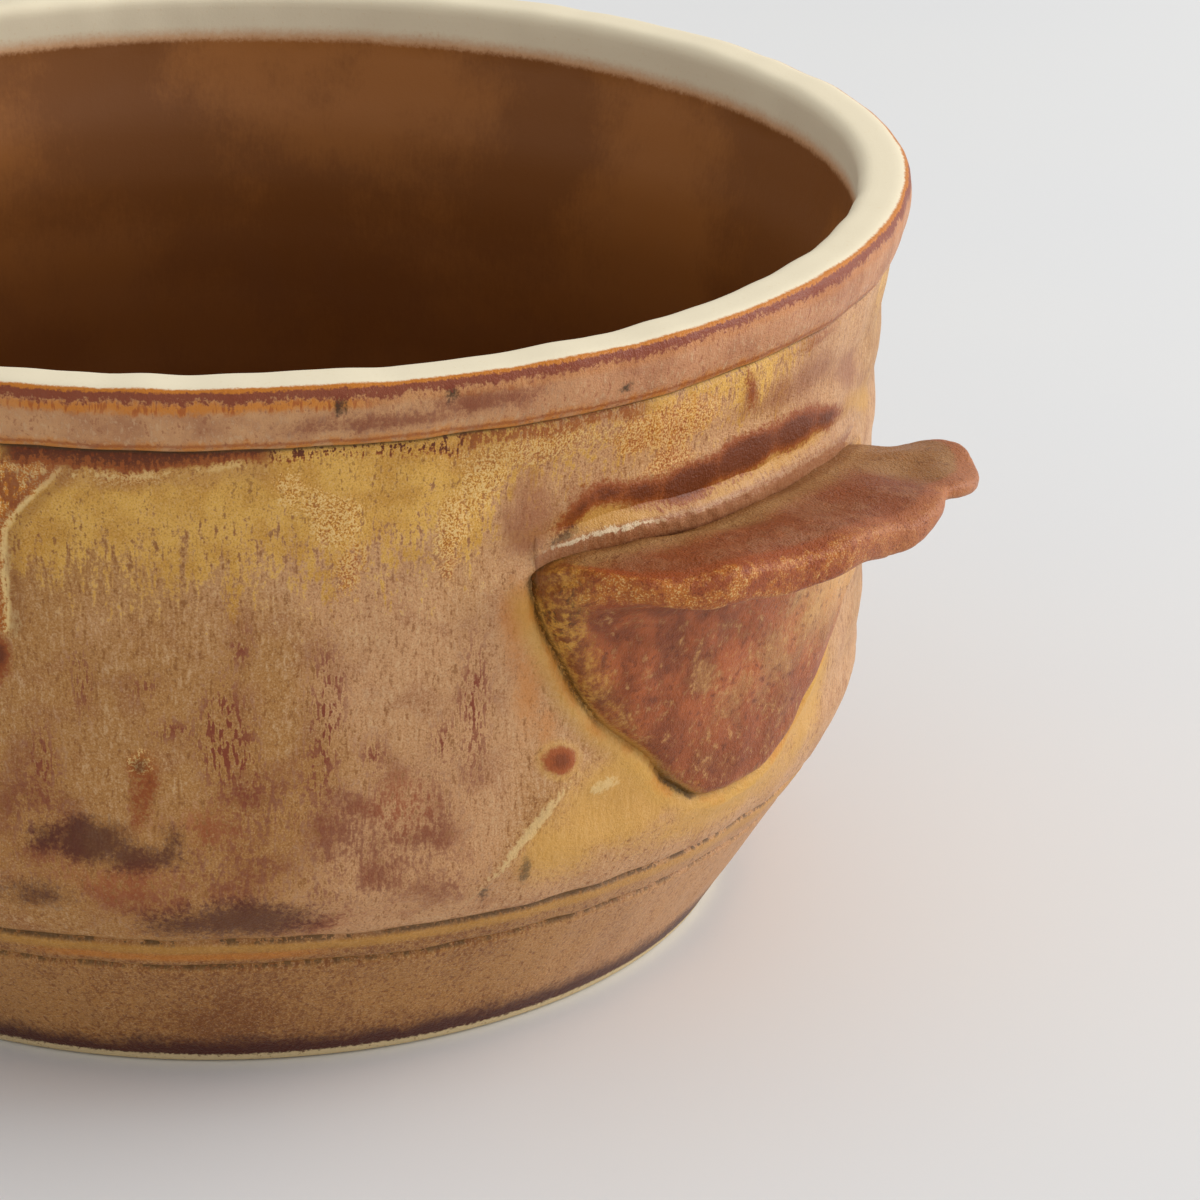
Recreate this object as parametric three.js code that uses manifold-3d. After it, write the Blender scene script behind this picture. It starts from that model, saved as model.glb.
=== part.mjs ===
// Stoneware bowl with two lug handles, in millimetres.
// It stands on z = 0 with its axis on z, and the lugs lie along +x and -x.

import * as THREE from 'three';
import { mergeVertices } from 'three/addons/utils/BufferGeometryUtils.js';
import Module from 'manifold-3d';

// Thrown body, outside
const RIM_HEIGHT = 71.4; // top of the rim above the table
const RIM_RADIUS = 65.3; // widest place of the rim band
const RIM_ROUND = 1.5; // rounding of the rim's two top edges
const BAND_DEPTH = 7; // height of the raised band below the rim's top
const NECK_RADIUS = 63.7; // crease under the band
const NECK_STEP = 0.6; // how far the band stands out over the crease
const FLARE_DEPTH = 23; // the wall starts to flare this far below the rim's top
const WALL_RADIUS = 62.4; // wall under the flare
const BELLY_HEIGHT = 25; // below this the wall turns in to the cone
const BELLY_RADIUS = 61.3;
const SHOULDER_HEIGHT = 18.2; // the turned line where the wall meets the lower cone
const SHOULDER_RADIUS = 59.2;
const FOOT_RADIUS = 48;
const FOOT_EDGE = 0.6; // chamfer round the foot's outer edge

// Two turned lines, cut with the corner of a tool
const LINE_DEPTH = 0.6;
const LINE_WIDTH = 1;
const LINE_SPACING = 3.6; // from the first line down the cone to the second

// Thrown body, underside and inside
const FOOT_WIDTH = 7; // flat ring that the bowl stands on
const RECESS_DEPTH = 1.6; // turned hollow inside the foot ring
const RECESS_SLOPE = 2; // run of the hollow's sloping side
const FLOOR_THICKNESS = 6;
const FLOOR_RADIUS = 26; // flat middle of the floor
const RIM_THICKNESS = 5;
const WALL_THICKNESS = 5.3;
const LIP_DEPTH = 6; // upright stretch inside the rim

// Lug handle: a slab folded outward into a ledge, with a tongue left against the wall
const LEDGE_DROP = 18.6; // ledge's top below the rim's top, where it leaves the wall
const LEDGE_THICKNESS = 3.8;
const LEDGE_SLOPE = 5; // degrees that the ledge falls outward
const TONGUE_DROP = 46.8; // tongue's tip below the rim's top
const TONGUE_THICKNESS = 2.6; // under the ledge
const TONGUE_TIP = 1; // thickness at the tip
const WEB_SIZE = 5; // hollow fillet between the tongue and the ledge

// Ledge's edge: how far along the wall from the lug's middle, and how far out from the wall
const LEDGE_EDGE = [
  [-22, 0.5],
  [-20.8, 5.2],
  [-17, 8.6],
  [-10, 11],
  [0, 12],
  [10, 13.9],
  [13.6, 13.3],
  [17, 13.8],
  [20.6, 11.6],
  [20.8, 0.5],
];

// Tongue's edge: how far along the wall from the lug's middle, and how far below the rim's top
const TONGUE_EDGE = [
  [23.6, 20.5],
  [22, 27],
  [19, 33.5],
  [15.3, 37.8],
  [9.3, 43.6],
];

// Seam coil, pressed into the corner above the lug and smeared up the wall
const COIL_HEIGHT = 4.4;
const COIL_THICKNESS = 1.5;
const COIL_LENGTH = 46;

const SLIP_GAP = 0.3; // joint filled with slip between two pieces of clay

// Fineness of the surfaces
const ROUND_STEPS = 64; // round the bowl
const CURVE_STEPS = 4; // along each curve of a profile
const OUTLINE_STEPS = 3; // between two points of a lug's outline
const EDGE_STEPS = 3; // over half of the ledge's round edge

const wasm = await Module();
wasm.setup();

// Turns a three.js geometry into a solid that can be joined and cut
function solid(geometry) {
  const bare = geometry.clone();
  bare.deleteAttribute('normal');
  bare.deleteAttribute('uv');
  const merged = mergeVertices(bare);
  const vertProperties = new Float32Array(merged.attributes.position.array);
  const triVerts = new Uint32Array(merged.index.array);
  return new wasm.Manifold(new wasm.Mesh({ numProp: 3, vertProperties, triVerts }));
}

// Turns a solid back into a three.js geometry
function geometryOf(body) {
  const { vertProperties, triVerts } = body.getMesh();
  const geometry = new THREE.BufferGeometry();
  geometry.setAttribute('position', new THREE.BufferAttribute(vertProperties, 3));
  geometry.setIndex(new THREE.BufferAttribute(triVerts, 1));
  geometry.computeVertexNormals();
  return geometry;
}

// Turns a profile of (radius, height) points about the z axis
function turned(points) {
  return new THREE.LatheGeometry(points, ROUND_STEPS).rotateX(Math.PI / 2);
}

// Adds a turned line to a profile path that climbs the wall, its lower edge at the given point
function cutLine(path, low, slope) {
  const middle = low.clone().addScaledVector(slope, LINE_WIDTH / 2);
  const high = low.clone().addScaledVector(slope, LINE_WIDTH);
  path.lineTo(low.x, low.y);
  path.lineTo(middle.x - LINE_DEPTH, middle.y);
  path.lineTo(high.x, high.y);
}

// Outside of the body from the foot's edge up to the rim's widest place
function outsidePath() {
  const path = new THREE.Path();
  const bottom = new THREE.Vector2(FOOT_RADIUS, FOOT_EDGE);
  const shoulder = new THREE.Vector2(SHOULDER_RADIUS, SHOULDER_HEIGHT);
  const cone = shoulder.clone().sub(bottom).normalize();
  path.moveTo(bottom.x, bottom.y);
  cutLine(path, shoulder.clone().addScaledVector(cone, -LINE_SPACING - LINE_WIDTH), cone);
  cutLine(path, shoulder.clone().addScaledVector(cone, -LINE_WIDTH), cone);
  path.quadraticCurveTo(
    BELLY_RADIUS, (SHOULDER_HEIGHT + BELLY_HEIGHT) / 2,
    BELLY_RADIUS, BELLY_HEIGHT,
  );
  const flareHeight = RIM_HEIGHT - FLARE_DEPTH;
  const neckHeight = RIM_HEIGHT - BAND_DEPTH;
  path.lineTo(WALL_RADIUS, flareHeight);
  path.quadraticCurveTo(WALL_RADIUS, (flareHeight + neckHeight) / 2, NECK_RADIUS, neckHeight);
  path.lineTo(NECK_RADIUS + NECK_STEP, neckHeight + NECK_STEP);
  path.quadraticCurveTo(RIM_RADIUS, RIM_HEIGHT - BAND_DEPTH / 2, RIM_RADIUS, RIM_HEIGHT - RIM_ROUND);
  return path;
}

const outsidePoints = outsidePath().getPoints(CURVE_STEPS);

// Outside radius of the wall at a height
function wallRadius(height) {
  const next = outsidePoints.findIndex((p) => p.y > height);
  const [low, high] = [outsidePoints[next - 1], outsidePoints[next]];
  return THREE.MathUtils.mapLinear(height, low.y, high.y, low.x, high.x);
}

// The body without its hollow, grown outward by a distance that may change with height
function envelope(growAt) {
  const grown = outsidePoints.map((p) => new THREE.Vector2(p.x + growAt(p.y), p.y));
  const bottom = new THREE.Vector2(0, grown[0].y);
  const top = new THREE.Vector2(0, grown.at(-1).y);
  return turned([bottom, ...grown, top]);
}

// Body: underside, outside, rim and inside in one closed profile
function bodyGeometry() {
  const footInner = FOOT_RADIUS - FOOT_EDGE - FOOT_WIDTH;
  const rimInner = RIM_RADIUS - RIM_THICKNESS;
  const wallInner = WALL_RADIUS - WALL_THICKNESS;
  const bellyInner = BELLY_RADIUS - WALL_THICKNESS;
  const floorTop = RECESS_DEPTH + FLOOR_THICKNESS;
  const flareHeight = RIM_HEIGHT - FLARE_DEPTH;
  const lipHeight = RIM_HEIGHT - LIP_DEPTH;
  const underside = [
    new THREE.Vector2(0, RECESS_DEPTH),
    new THREE.Vector2(footInner - RECESS_SLOPE, RECESS_DEPTH),
    new THREE.Vector2(footInner, 0),
    new THREE.Vector2(FOOT_RADIUS - FOOT_EDGE, 0),
  ];
  const inside = new THREE.Path();
  inside.moveTo(RIM_RADIUS, RIM_HEIGHT - RIM_ROUND);
  inside.quadraticCurveTo(RIM_RADIUS, RIM_HEIGHT, RIM_RADIUS - RIM_ROUND, RIM_HEIGHT);
  inside.lineTo(rimInner + RIM_ROUND, RIM_HEIGHT);
  inside.quadraticCurveTo(rimInner, RIM_HEIGHT, rimInner, RIM_HEIGHT - RIM_ROUND);
  inside.lineTo(rimInner, lipHeight);
  inside.quadraticCurveTo(wallInner, (lipHeight + flareHeight) / 2, wallInner, flareHeight);
  inside.lineTo(bellyInner, BELLY_HEIGHT);
  inside.bezierCurveTo(
    bellyInner, (BELLY_HEIGHT + floorTop) / 2,
    (bellyInner + FLOOR_RADIUS) / 2, floorTop,
    FLOOR_RADIUS, floorTop,
  );
  inside.lineTo(0, floorTop);
  return turned([...underside, ...outsidePoints, ...inside.getPoints(CURVE_STEPS).slice(1)]);
}

// Point in plan at a distance along the wall from the lug's middle and out from the wall
function planPoint(along, out) {
  const angle = along / WALL_RADIUS;
  const radius = WALL_RADIUS + out;
  return new THREE.Vector2(radius * Math.cos(angle), radius * Math.sin(angle));
}

// Extrudes a front view drawn in (y, z) along x, from the axis past the lug
function frontPrism(shape) {
  const depth = 2 * WALL_RADIUS;
  return new THREE.ExtrudeGeometry(shape, { depth, steps: 1, bevelEnabled: false })
    .rotateX(Math.PI / 2)
    .rotateZ(Math.PI / 2);
}

// Ledge outline in plan, run on to the axis so that the wall can cut it
function ledgeShape() {
  const edge = LEDGE_EDGE.map(([along, out]) => planPoint(along, out));
  const shape = new THREE.Shape();
  shape.moveTo(0, 0);
  shape.lineTo(edge[0].x, edge[0].y);
  shape.splineThru(edge.slice(1));
  return shape;
}

// Ledge: a plate with a wavy, rounded edge that falls outward
function ledgeGeometry() {
  const round = LEDGE_THICKNESS / 2;
  const plate = new THREE.ExtrudeGeometry(ledgeShape(), {
    depth: SLIP_GAP,
    curveSegments: OUTLINE_STEPS,
    bevelThickness: round - SLIP_GAP / 2,
    bevelSize: round,
    bevelOffset: -round,
    bevelSegments: EDGE_STEPS,
  });
  return plate
    .translate(-WALL_RADIUS, 0, -round - SLIP_GAP / 2)
    .rotateY(THREE.MathUtils.degToRad(LEDGE_SLOPE))
    .translate(WALL_RADIUS, 0, RIM_HEIGHT - LEDGE_DROP);
}

// Tongue outline, in front view
function tongueShape() {
  const edge = TONGUE_EDGE.map(([along, drop]) => [planPoint(along, 0).y, RIM_HEIGHT - drop]);
  const right = edge.map(([y, z]) => new THREE.Vector2(y, z));
  const left = edge.map(([y, z]) => new THREE.Vector2(-y, z)).reverse();
  const shape = new THREE.Shape();
  shape.moveTo(right[0].x, right[0].y);
  shape.splineThru([...right.slice(1), new THREE.Vector2(0, RIM_HEIGHT - TONGUE_DROP), ...left]);
  return new THREE.Shape(shape.getPoints(OUTLINE_STEPS));
}

// Hollow fillet all round the wall, under the ledge and over the tongue
function webGeometry() {
  const face = WALL_RADIUS + SLIP_GAP + TONGUE_THICKNESS;
  const top = RIM_HEIGHT - LEDGE_DROP - LEDGE_THICKNESS / 2;
  const low = RIM_HEIGHT - LEDGE_DROP - LEDGE_THICKNESS - WEB_SIZE;
  const path = new THREE.Path();
  path.moveTo(0, low);
  path.lineTo(face, low);
  path.quadraticCurveTo(face, low + WEB_SIZE, face + WEB_SIZE, low + WEB_SIZE);
  path.lineTo(face + WEB_SIZE, top);
  path.lineTo(0, top);
  return turned(path.getPoints(CURVE_STEPS));
}

// Room under the ledge's outline, which the web may fill
function underLedgeGeometry() {
  const settings = { depth: RIM_HEIGHT, curveSegments: OUTLINE_STEPS, bevelEnabled: false };
  return new THREE.ExtrudeGeometry(ledgeShape(), settings);
}

// Thickness of the tongue at a height, thinner towards its tip
function tongueThickness(height) {
  const tip = RIM_HEIGHT - TONGUE_DROP;
  const top = RIM_HEIGHT - LEDGE_DROP;
  return THREE.MathUtils.mapLinear(height, tip, top, TONGUE_TIP, TONGUE_THICKNESS);
}

const wall = solid(envelope(() => SLIP_GAP));

// Lug: ledge, web and tongue in one piece, cut to the wall with a slip joint
function lugGeometry() {
  const prism = solid(frontPrism(tongueShape()));
  const slab = solid(envelope((height) => SLIP_GAP + tongueThickness(height)));
  const web = solid(webGeometry()).intersect(solid(underLedgeGeometry()));
  const tongue = slab.add(web).intersect(prism);
  return geometryOf(solid(ledgeGeometry()).add(tongue).subtract(wall));
}

// Seam coil: a strip thick at the lug and feathered up the wall, with round ends
function coilGeometry() {
  const low = RIM_HEIGHT - LEDGE_DROP;
  const high = low + COIL_HEIGHT;
  const section = new THREE.Path();
  section.moveTo(COIL_THICKNESS, low);
  section.bezierCurveTo(
    COIL_THICKNESS, low + COIL_HEIGHT / 2,
    COIL_THICKNESS / 2, low + COIL_HEIGHT / 2,
    0, high,
  );
  const face = section.getPoints(CURVE_STEPS)
    .map((p) => new THREE.Vector2(wallRadius(p.y) + SLIP_GAP + p.x, p.y));
  const ring = turned([new THREE.Vector2(0, low), ...face, new THREE.Vector2(0, high)]);
  const round = COIL_HEIGHT / 2;
  const half = planPoint(COIL_LENGTH / 2, 0).y - round;
  const front = new THREE.Shape();
  front.absarc(half, low + round, round, -Math.PI / 2, Math.PI / 2);
  front.absarc(-half, low + round, round, Math.PI / 2, (3 * Math.PI) / 2);
  const strip = solid(ring).intersect(solid(frontPrism(front)));
  const ledgeClear = solid(ledgeGeometry().translate(0, 0, SLIP_GAP));
  return geometryOf(strip.subtract(wall).subtract(ledgeClear));
}

// Glaze colours
const BODY_GLAZE = new THREE.MeshStandardMaterial({ color: 0xa07a4a, roughness: 0.45, metalness: 0 });
const LUG_GLAZE = new THREE.MeshStandardMaterial({ color: 0x8a4a2a, roughness: 0.4, metalness: 0 });
const SEAM_GLAZE = new THREE.MeshStandardMaterial({ color: 0xb08a52, roughness: 0.45, metalness: 0 });

function piece(name, geometry, material) {
  const mesh = new THREE.Mesh(geometry, material);
  mesh.name = name;
  return mesh;
}

const bowl = new THREE.Group();
bowl.add(piece('bowl_body', bodyGeometry(), BODY_GLAZE));

const lug = lugGeometry();
const coil = coilGeometry();
for (const [side, turn] of [['right', 0], ['left', Math.PI]]) {
  const handle = new THREE.Group();
  handle.add(piece(`${side}_lug`, lug, LUG_GLAZE.clone()));
  handle.add(piece(`${side}_seam_coil`, coil, SEAM_GLAZE.clone()));
  handle.rotation.z = turn;
  bowl.add(handle);
}

export default bowl;
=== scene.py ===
"""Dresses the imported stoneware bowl: the glazed body, its two lugs and the seam coils above them."""
import logging
import math
from bisect import bisect_right
from dataclasses import dataclass, field
from enum import Enum
from typing import Any, Optional, Sequence, Union

import bmesh
import bpy
import numpy as np
from mathutils import Matrix, Vector, noise


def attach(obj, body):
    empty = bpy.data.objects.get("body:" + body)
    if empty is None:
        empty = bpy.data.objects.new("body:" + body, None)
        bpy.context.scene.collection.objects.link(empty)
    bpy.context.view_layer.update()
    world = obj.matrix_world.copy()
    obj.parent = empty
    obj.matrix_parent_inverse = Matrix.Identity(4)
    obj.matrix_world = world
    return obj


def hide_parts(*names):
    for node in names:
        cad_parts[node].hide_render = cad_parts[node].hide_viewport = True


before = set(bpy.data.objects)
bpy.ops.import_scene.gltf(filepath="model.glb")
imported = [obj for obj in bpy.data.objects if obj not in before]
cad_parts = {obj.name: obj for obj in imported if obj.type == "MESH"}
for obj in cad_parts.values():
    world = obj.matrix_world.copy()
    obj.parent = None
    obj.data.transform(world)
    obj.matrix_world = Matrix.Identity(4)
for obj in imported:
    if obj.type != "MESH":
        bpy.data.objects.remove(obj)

MM = 0.001  # one millimetre in metres
BODY = "root"  # the part has no joints, so every piece rides on this body

Point = tuple[float, float]
log = logging.getLogger("bowl")


def bezier(controls: Sequence[Point], steps: int) -> list[Point]:
    """Points along a Bezier curve of any order, without its first point.

    Args:
        controls: The curve's control points.
        steps: How many points to give.

    Returns:
        The points, the last one being the last control point.
    """
    found = []
    for step in range(1, steps + 1):
        row = [Vector(c) for c in controls]
        while len(row) > 1:
            row = [a.lerp(b, step / steps) for a, b in zip(row, row[1:])]
        found.append((row[0].x, row[0].y))
    return found


def smooth_through(points: Sequence[Point], steps: int) -> list[Point]:
    """A smooth line that passes through every given point.

    Args:
        points: The points to pass through.
        steps: Points per stretch between two given points.

    Returns:
        The points of the smooth line, the first and last given points included.
    """
    rows = [Vector(p) for p in points]
    padded = [rows[0], *rows, rows[-1]]
    found = [tuple(rows[0])]
    for before, start, end, after in zip(padded, padded[1:], padded[2:], padded[3:]):
        for step in range(1, steps + 1):
            t = step / steps
            bend = (end - before) * t + (2 * before - 5 * start + 4 * end - after) * t * t
            bend += (3 * start - before - 3 * end + after) * t ** 3
            found.append(tuple(start + bend / 2))
    return found


def value_at(points: Sequence[Point], place: float) -> float:
    """Reads a broken line at one place.

    Args:
        points: The line's (place, value) points, in rising order of place.
        place: Where to read it.

    Returns:
        The value there, or the end value beyond the line's ends.
    """
    index = bisect_right([p[0] for p in points], place)
    if index == 0:
        return points[0][1]
    if index == len(points):
        return points[-1][1]
    (low, a), (high, b) = points[index - 1], points[index]
    return a + (b - a) * (place - low) / (high - low)


def ease(low: float, high: float, value: float) -> float:
    """Smooth step from 0 at low to 1 at high."""
    t = min(1.0, max(0.0, (value - low) / (high - low)))
    return t * t * (3 - 2 * t)


def hump(distance: float, width: float) -> float:
    """Round hump of height 1 that is gone a few widths away."""
    return math.exp(-((distance / width) ** 2))


def tone(code: str) -> tuple[float, float, float, float]:
    """Turns a colour such as b98746 into the linear colour that Blender takes.

    Args:
        code: Six hexadecimal digits, red, green and blue.

    Returns:
        Linear red, green, blue and an alpha of 1.
    """
    shades = [int(code[i:i + 2], 16) / 255 for i in (0, 2, 4)]
    linear = [s / 12.92 if s <= 0.04045 else ((s + 0.055) / 1.055) ** 2.4 for s in shades]
    return (*linear, 1.0)


class Side(Enum):
    """The two lugs, each with its turn about the bowl's axis."""

    RIGHT = 0.0
    LEFT = math.pi

    @property
    def label(self) -> str:
        """Name used in the CAD nodes."""
        return self.name.lower()


class Grain(Enum):
    """What breaks up a mark in the glaze."""

    SOFT = "soft"
    DASHES = "dashes"
    CRYSTALS = "crystals"
    SPOTS = "spots"
    MOTTLED = "mottled"


class Value:
    """One output socket of a node, with operators that add Math nodes."""

    def __init__(self, bench: "Bench", socket: Optional[bpy.types.NodeSocket]) -> None:
        """Keeps the socket and the bench that adds nodes."""
        self.bench = bench
        self.socket = socket

    def math(self, operation: str, *others: "Number") -> "Value":
        """Adds a Math node that starts with this value."""
        return self.bench.math(operation, self, *others)

    def other(self, output: Any) -> "Value":
        """Another output of the same node."""
        return Value(self.bench, self.socket.node.outputs[output])

    def __add__(self, other: "Number") -> "Value":
        """This value plus another."""
        return self.bench.math("ADD", self, other)

    def __radd__(self, other: "Number") -> "Value":
        """Another value plus this."""
        return self.bench.math("ADD", other, self)

    def __sub__(self, other: "Number") -> "Value":
        """This value less another."""
        return self.bench.math("SUBTRACT", self, other)

    def __rsub__(self, other: "Number") -> "Value":
        """Another value less this."""
        return self.bench.math("SUBTRACT", other, self)

    def __mul__(self, other: "Number") -> "Value":
        """This value times another."""
        return self.bench.math("MULTIPLY", self, other)

    def __rmul__(self, other: "Number") -> "Value":
        """Another value times this."""
        return self.bench.math("MULTIPLY", other, self)

    def __or__(self, other: "Number") -> "Value":
        """The larger of two masks."""
        return self.bench.math("MAXIMUM", self, other)

    def coat(self, mask: "Number", over: Any) -> "Value":
        """This colour with another laid over it through a mask."""
        return self.bench.mix(mask, self, over)


Number = Union[Value, float]


class Bench:
    """One node tree, with the few ways of adding nodes that the glazes use."""

    def __init__(self, tree: bpy.types.NodeTree) -> None:
        """Empties the tree and keeps it."""
        self.tree = tree
        self.tree.nodes.clear()

    def add(self, kind: str, settings: Optional[dict[str, Any]] = None,
            sockets: Optional[dict[Any, Any]] = None, output: Any = 0) -> Value:
        """Adds any node.

        Args:
            kind: The node's type.
            settings: Properties of the node, set before its sockets.
            sockets: Input names or numbers with the value or the Value that each takes.
            output: Name or number of the output wanted.

        Returns:
            The wanted output.
        """
        node = self.tree.nodes.new(kind)
        for name, setting in (settings or {}).items():
            setattr(node, name, setting)
        for key, given in (sockets or {}).items():
            if isinstance(given, Value):
                self.tree.links.new(given.socket, node.inputs[key])
            else:
                node.inputs[key].default_value = given
        return Value(self, node.outputs[output] if node.outputs else None)

    def math(self, operation: str, *terms: Number) -> Value:
        """Adds a Math node."""
        return self.add("ShaderNodeMath", {"operation": operation}, dict(enumerate(terms)))

    def vector(self, operation: str, *terms: Any, output: Any = 0) -> Value:
        """Adds a Vector Math node."""
        return self.add("ShaderNodeVectorMath", {"operation": operation}, dict(enumerate(terms)), output)

    def step(self, value: Number, low: float, high: float) -> Value:
        """Smooth step of a value from 0 at low to 1 at high, which may be the smaller."""
        sockets = {"Value": value, "From Min": low, "From Max": high}
        return self.add("ShaderNodeMapRange", {"interpolation_type": "SMOOTHSTEP"}, sockets)

    def between(self, value: Number, low: float, high: float, soft: float) -> Value:
        """Mask of the stretch from low to high, with soft ends."""
        return self.step(value, low - soft, low + soft) * self.step(value, high + soft, high - soft)

    def mix(self, mask: Number, under: Any, over: Any) -> Value:
        """Lays one colour over another through a mask. A colour may be a code or a Value."""
        under, over = (tone(c) if isinstance(c, str) else c for c in (under, over))
        return self.add("ShaderNodeMix", {"data_type": "RGBA"}, {0: mask, 6: under, 7: over}, 2)

    def noise(self, place: Value, scale: float, detail: float = 2.0, rough: float = 0.5) -> Value:
        """Cloudy noise from 0 to 1 about 0.5, its scale in waves per millimetre."""
        sockets = {"Vector": place, "Scale": scale, "Detail": detail, "Roughness": rough}
        return self.add("ShaderNodeTexNoise", None, sockets)

    def attribute(self, name: str) -> Value:
        """Number that the piece's mesh holds at each point."""
        return self.add("ShaderNodeAttribute", {"attribute_name": name}, None, "Fac")


class GlazeBench(Bench):
    """Node tree of one glaze's material."""

    def __init__(self, name: str) -> None:
        """Starts an empty material of this name."""
        self.material = bpy.data.materials.new(name)
        self.material.use_nodes = True
        super().__init__(self.material.node_tree)

    def finish(self, colour: Value, rough: Value, height: Value, specular: float) -> bpy.types.Material:
        """Joins a colour, a roughness and a relief in millimetres to the surface.

        Args:
            colour: Colour of the surface.
            rough: Roughness of the surface.
            height: Fine relief in millimetres.
            specular: Strength of the glaze's reflection.

        Returns:
            The finished material.
        """
        bump = self.add("ShaderNodeBump", None, {"Strength": 1.0, "Distance": MM, "Height": height})
        sockets = {"Base Color": colour, "Roughness": rough, "Normal": bump, "Specular IOR Level": specular}
        surface = self.add("ShaderNodeBsdfPrincipled", None, sockets)
        self.add("ShaderNodeOutputMaterial", None, {"Surface": surface})
        return self.material


@dataclass(frozen=True)
class Mark:
    """One oval patch of a stain, placed by angle and height.

    Angles are in degrees from the right lug's middle, sizes in millimetres.
    """

    angle: float
    height: float
    half_along: float
    half_up: float
    tilt: float = 0.0  # degrees that the patch's top leans towards growing angles
    once: bool = False  # on the right lug's half only, not repeated half a turn on


class Stain(Enum):
    """Stains in the glaze, and one painted highlight, each painted on the meshes as the distance inside its
    edge.
    """

    CRYSTAL = "crystal"
    GOLD = "gold"
    DASHES = "dashes"
    CLOUD = "cloud"
    PURPLE = "purple"
    RED = "red"
    YELLOW = "yellow"
    ORANGE = "orange"
    RUST = "rust"
    PLUM = "plum"
    OCHRE = "ochre"
    # pale glaze lines, and one painted highlight below the lug
    PALE = "pale"
    DOT = "dot"
    BLACK = "black"


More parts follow.
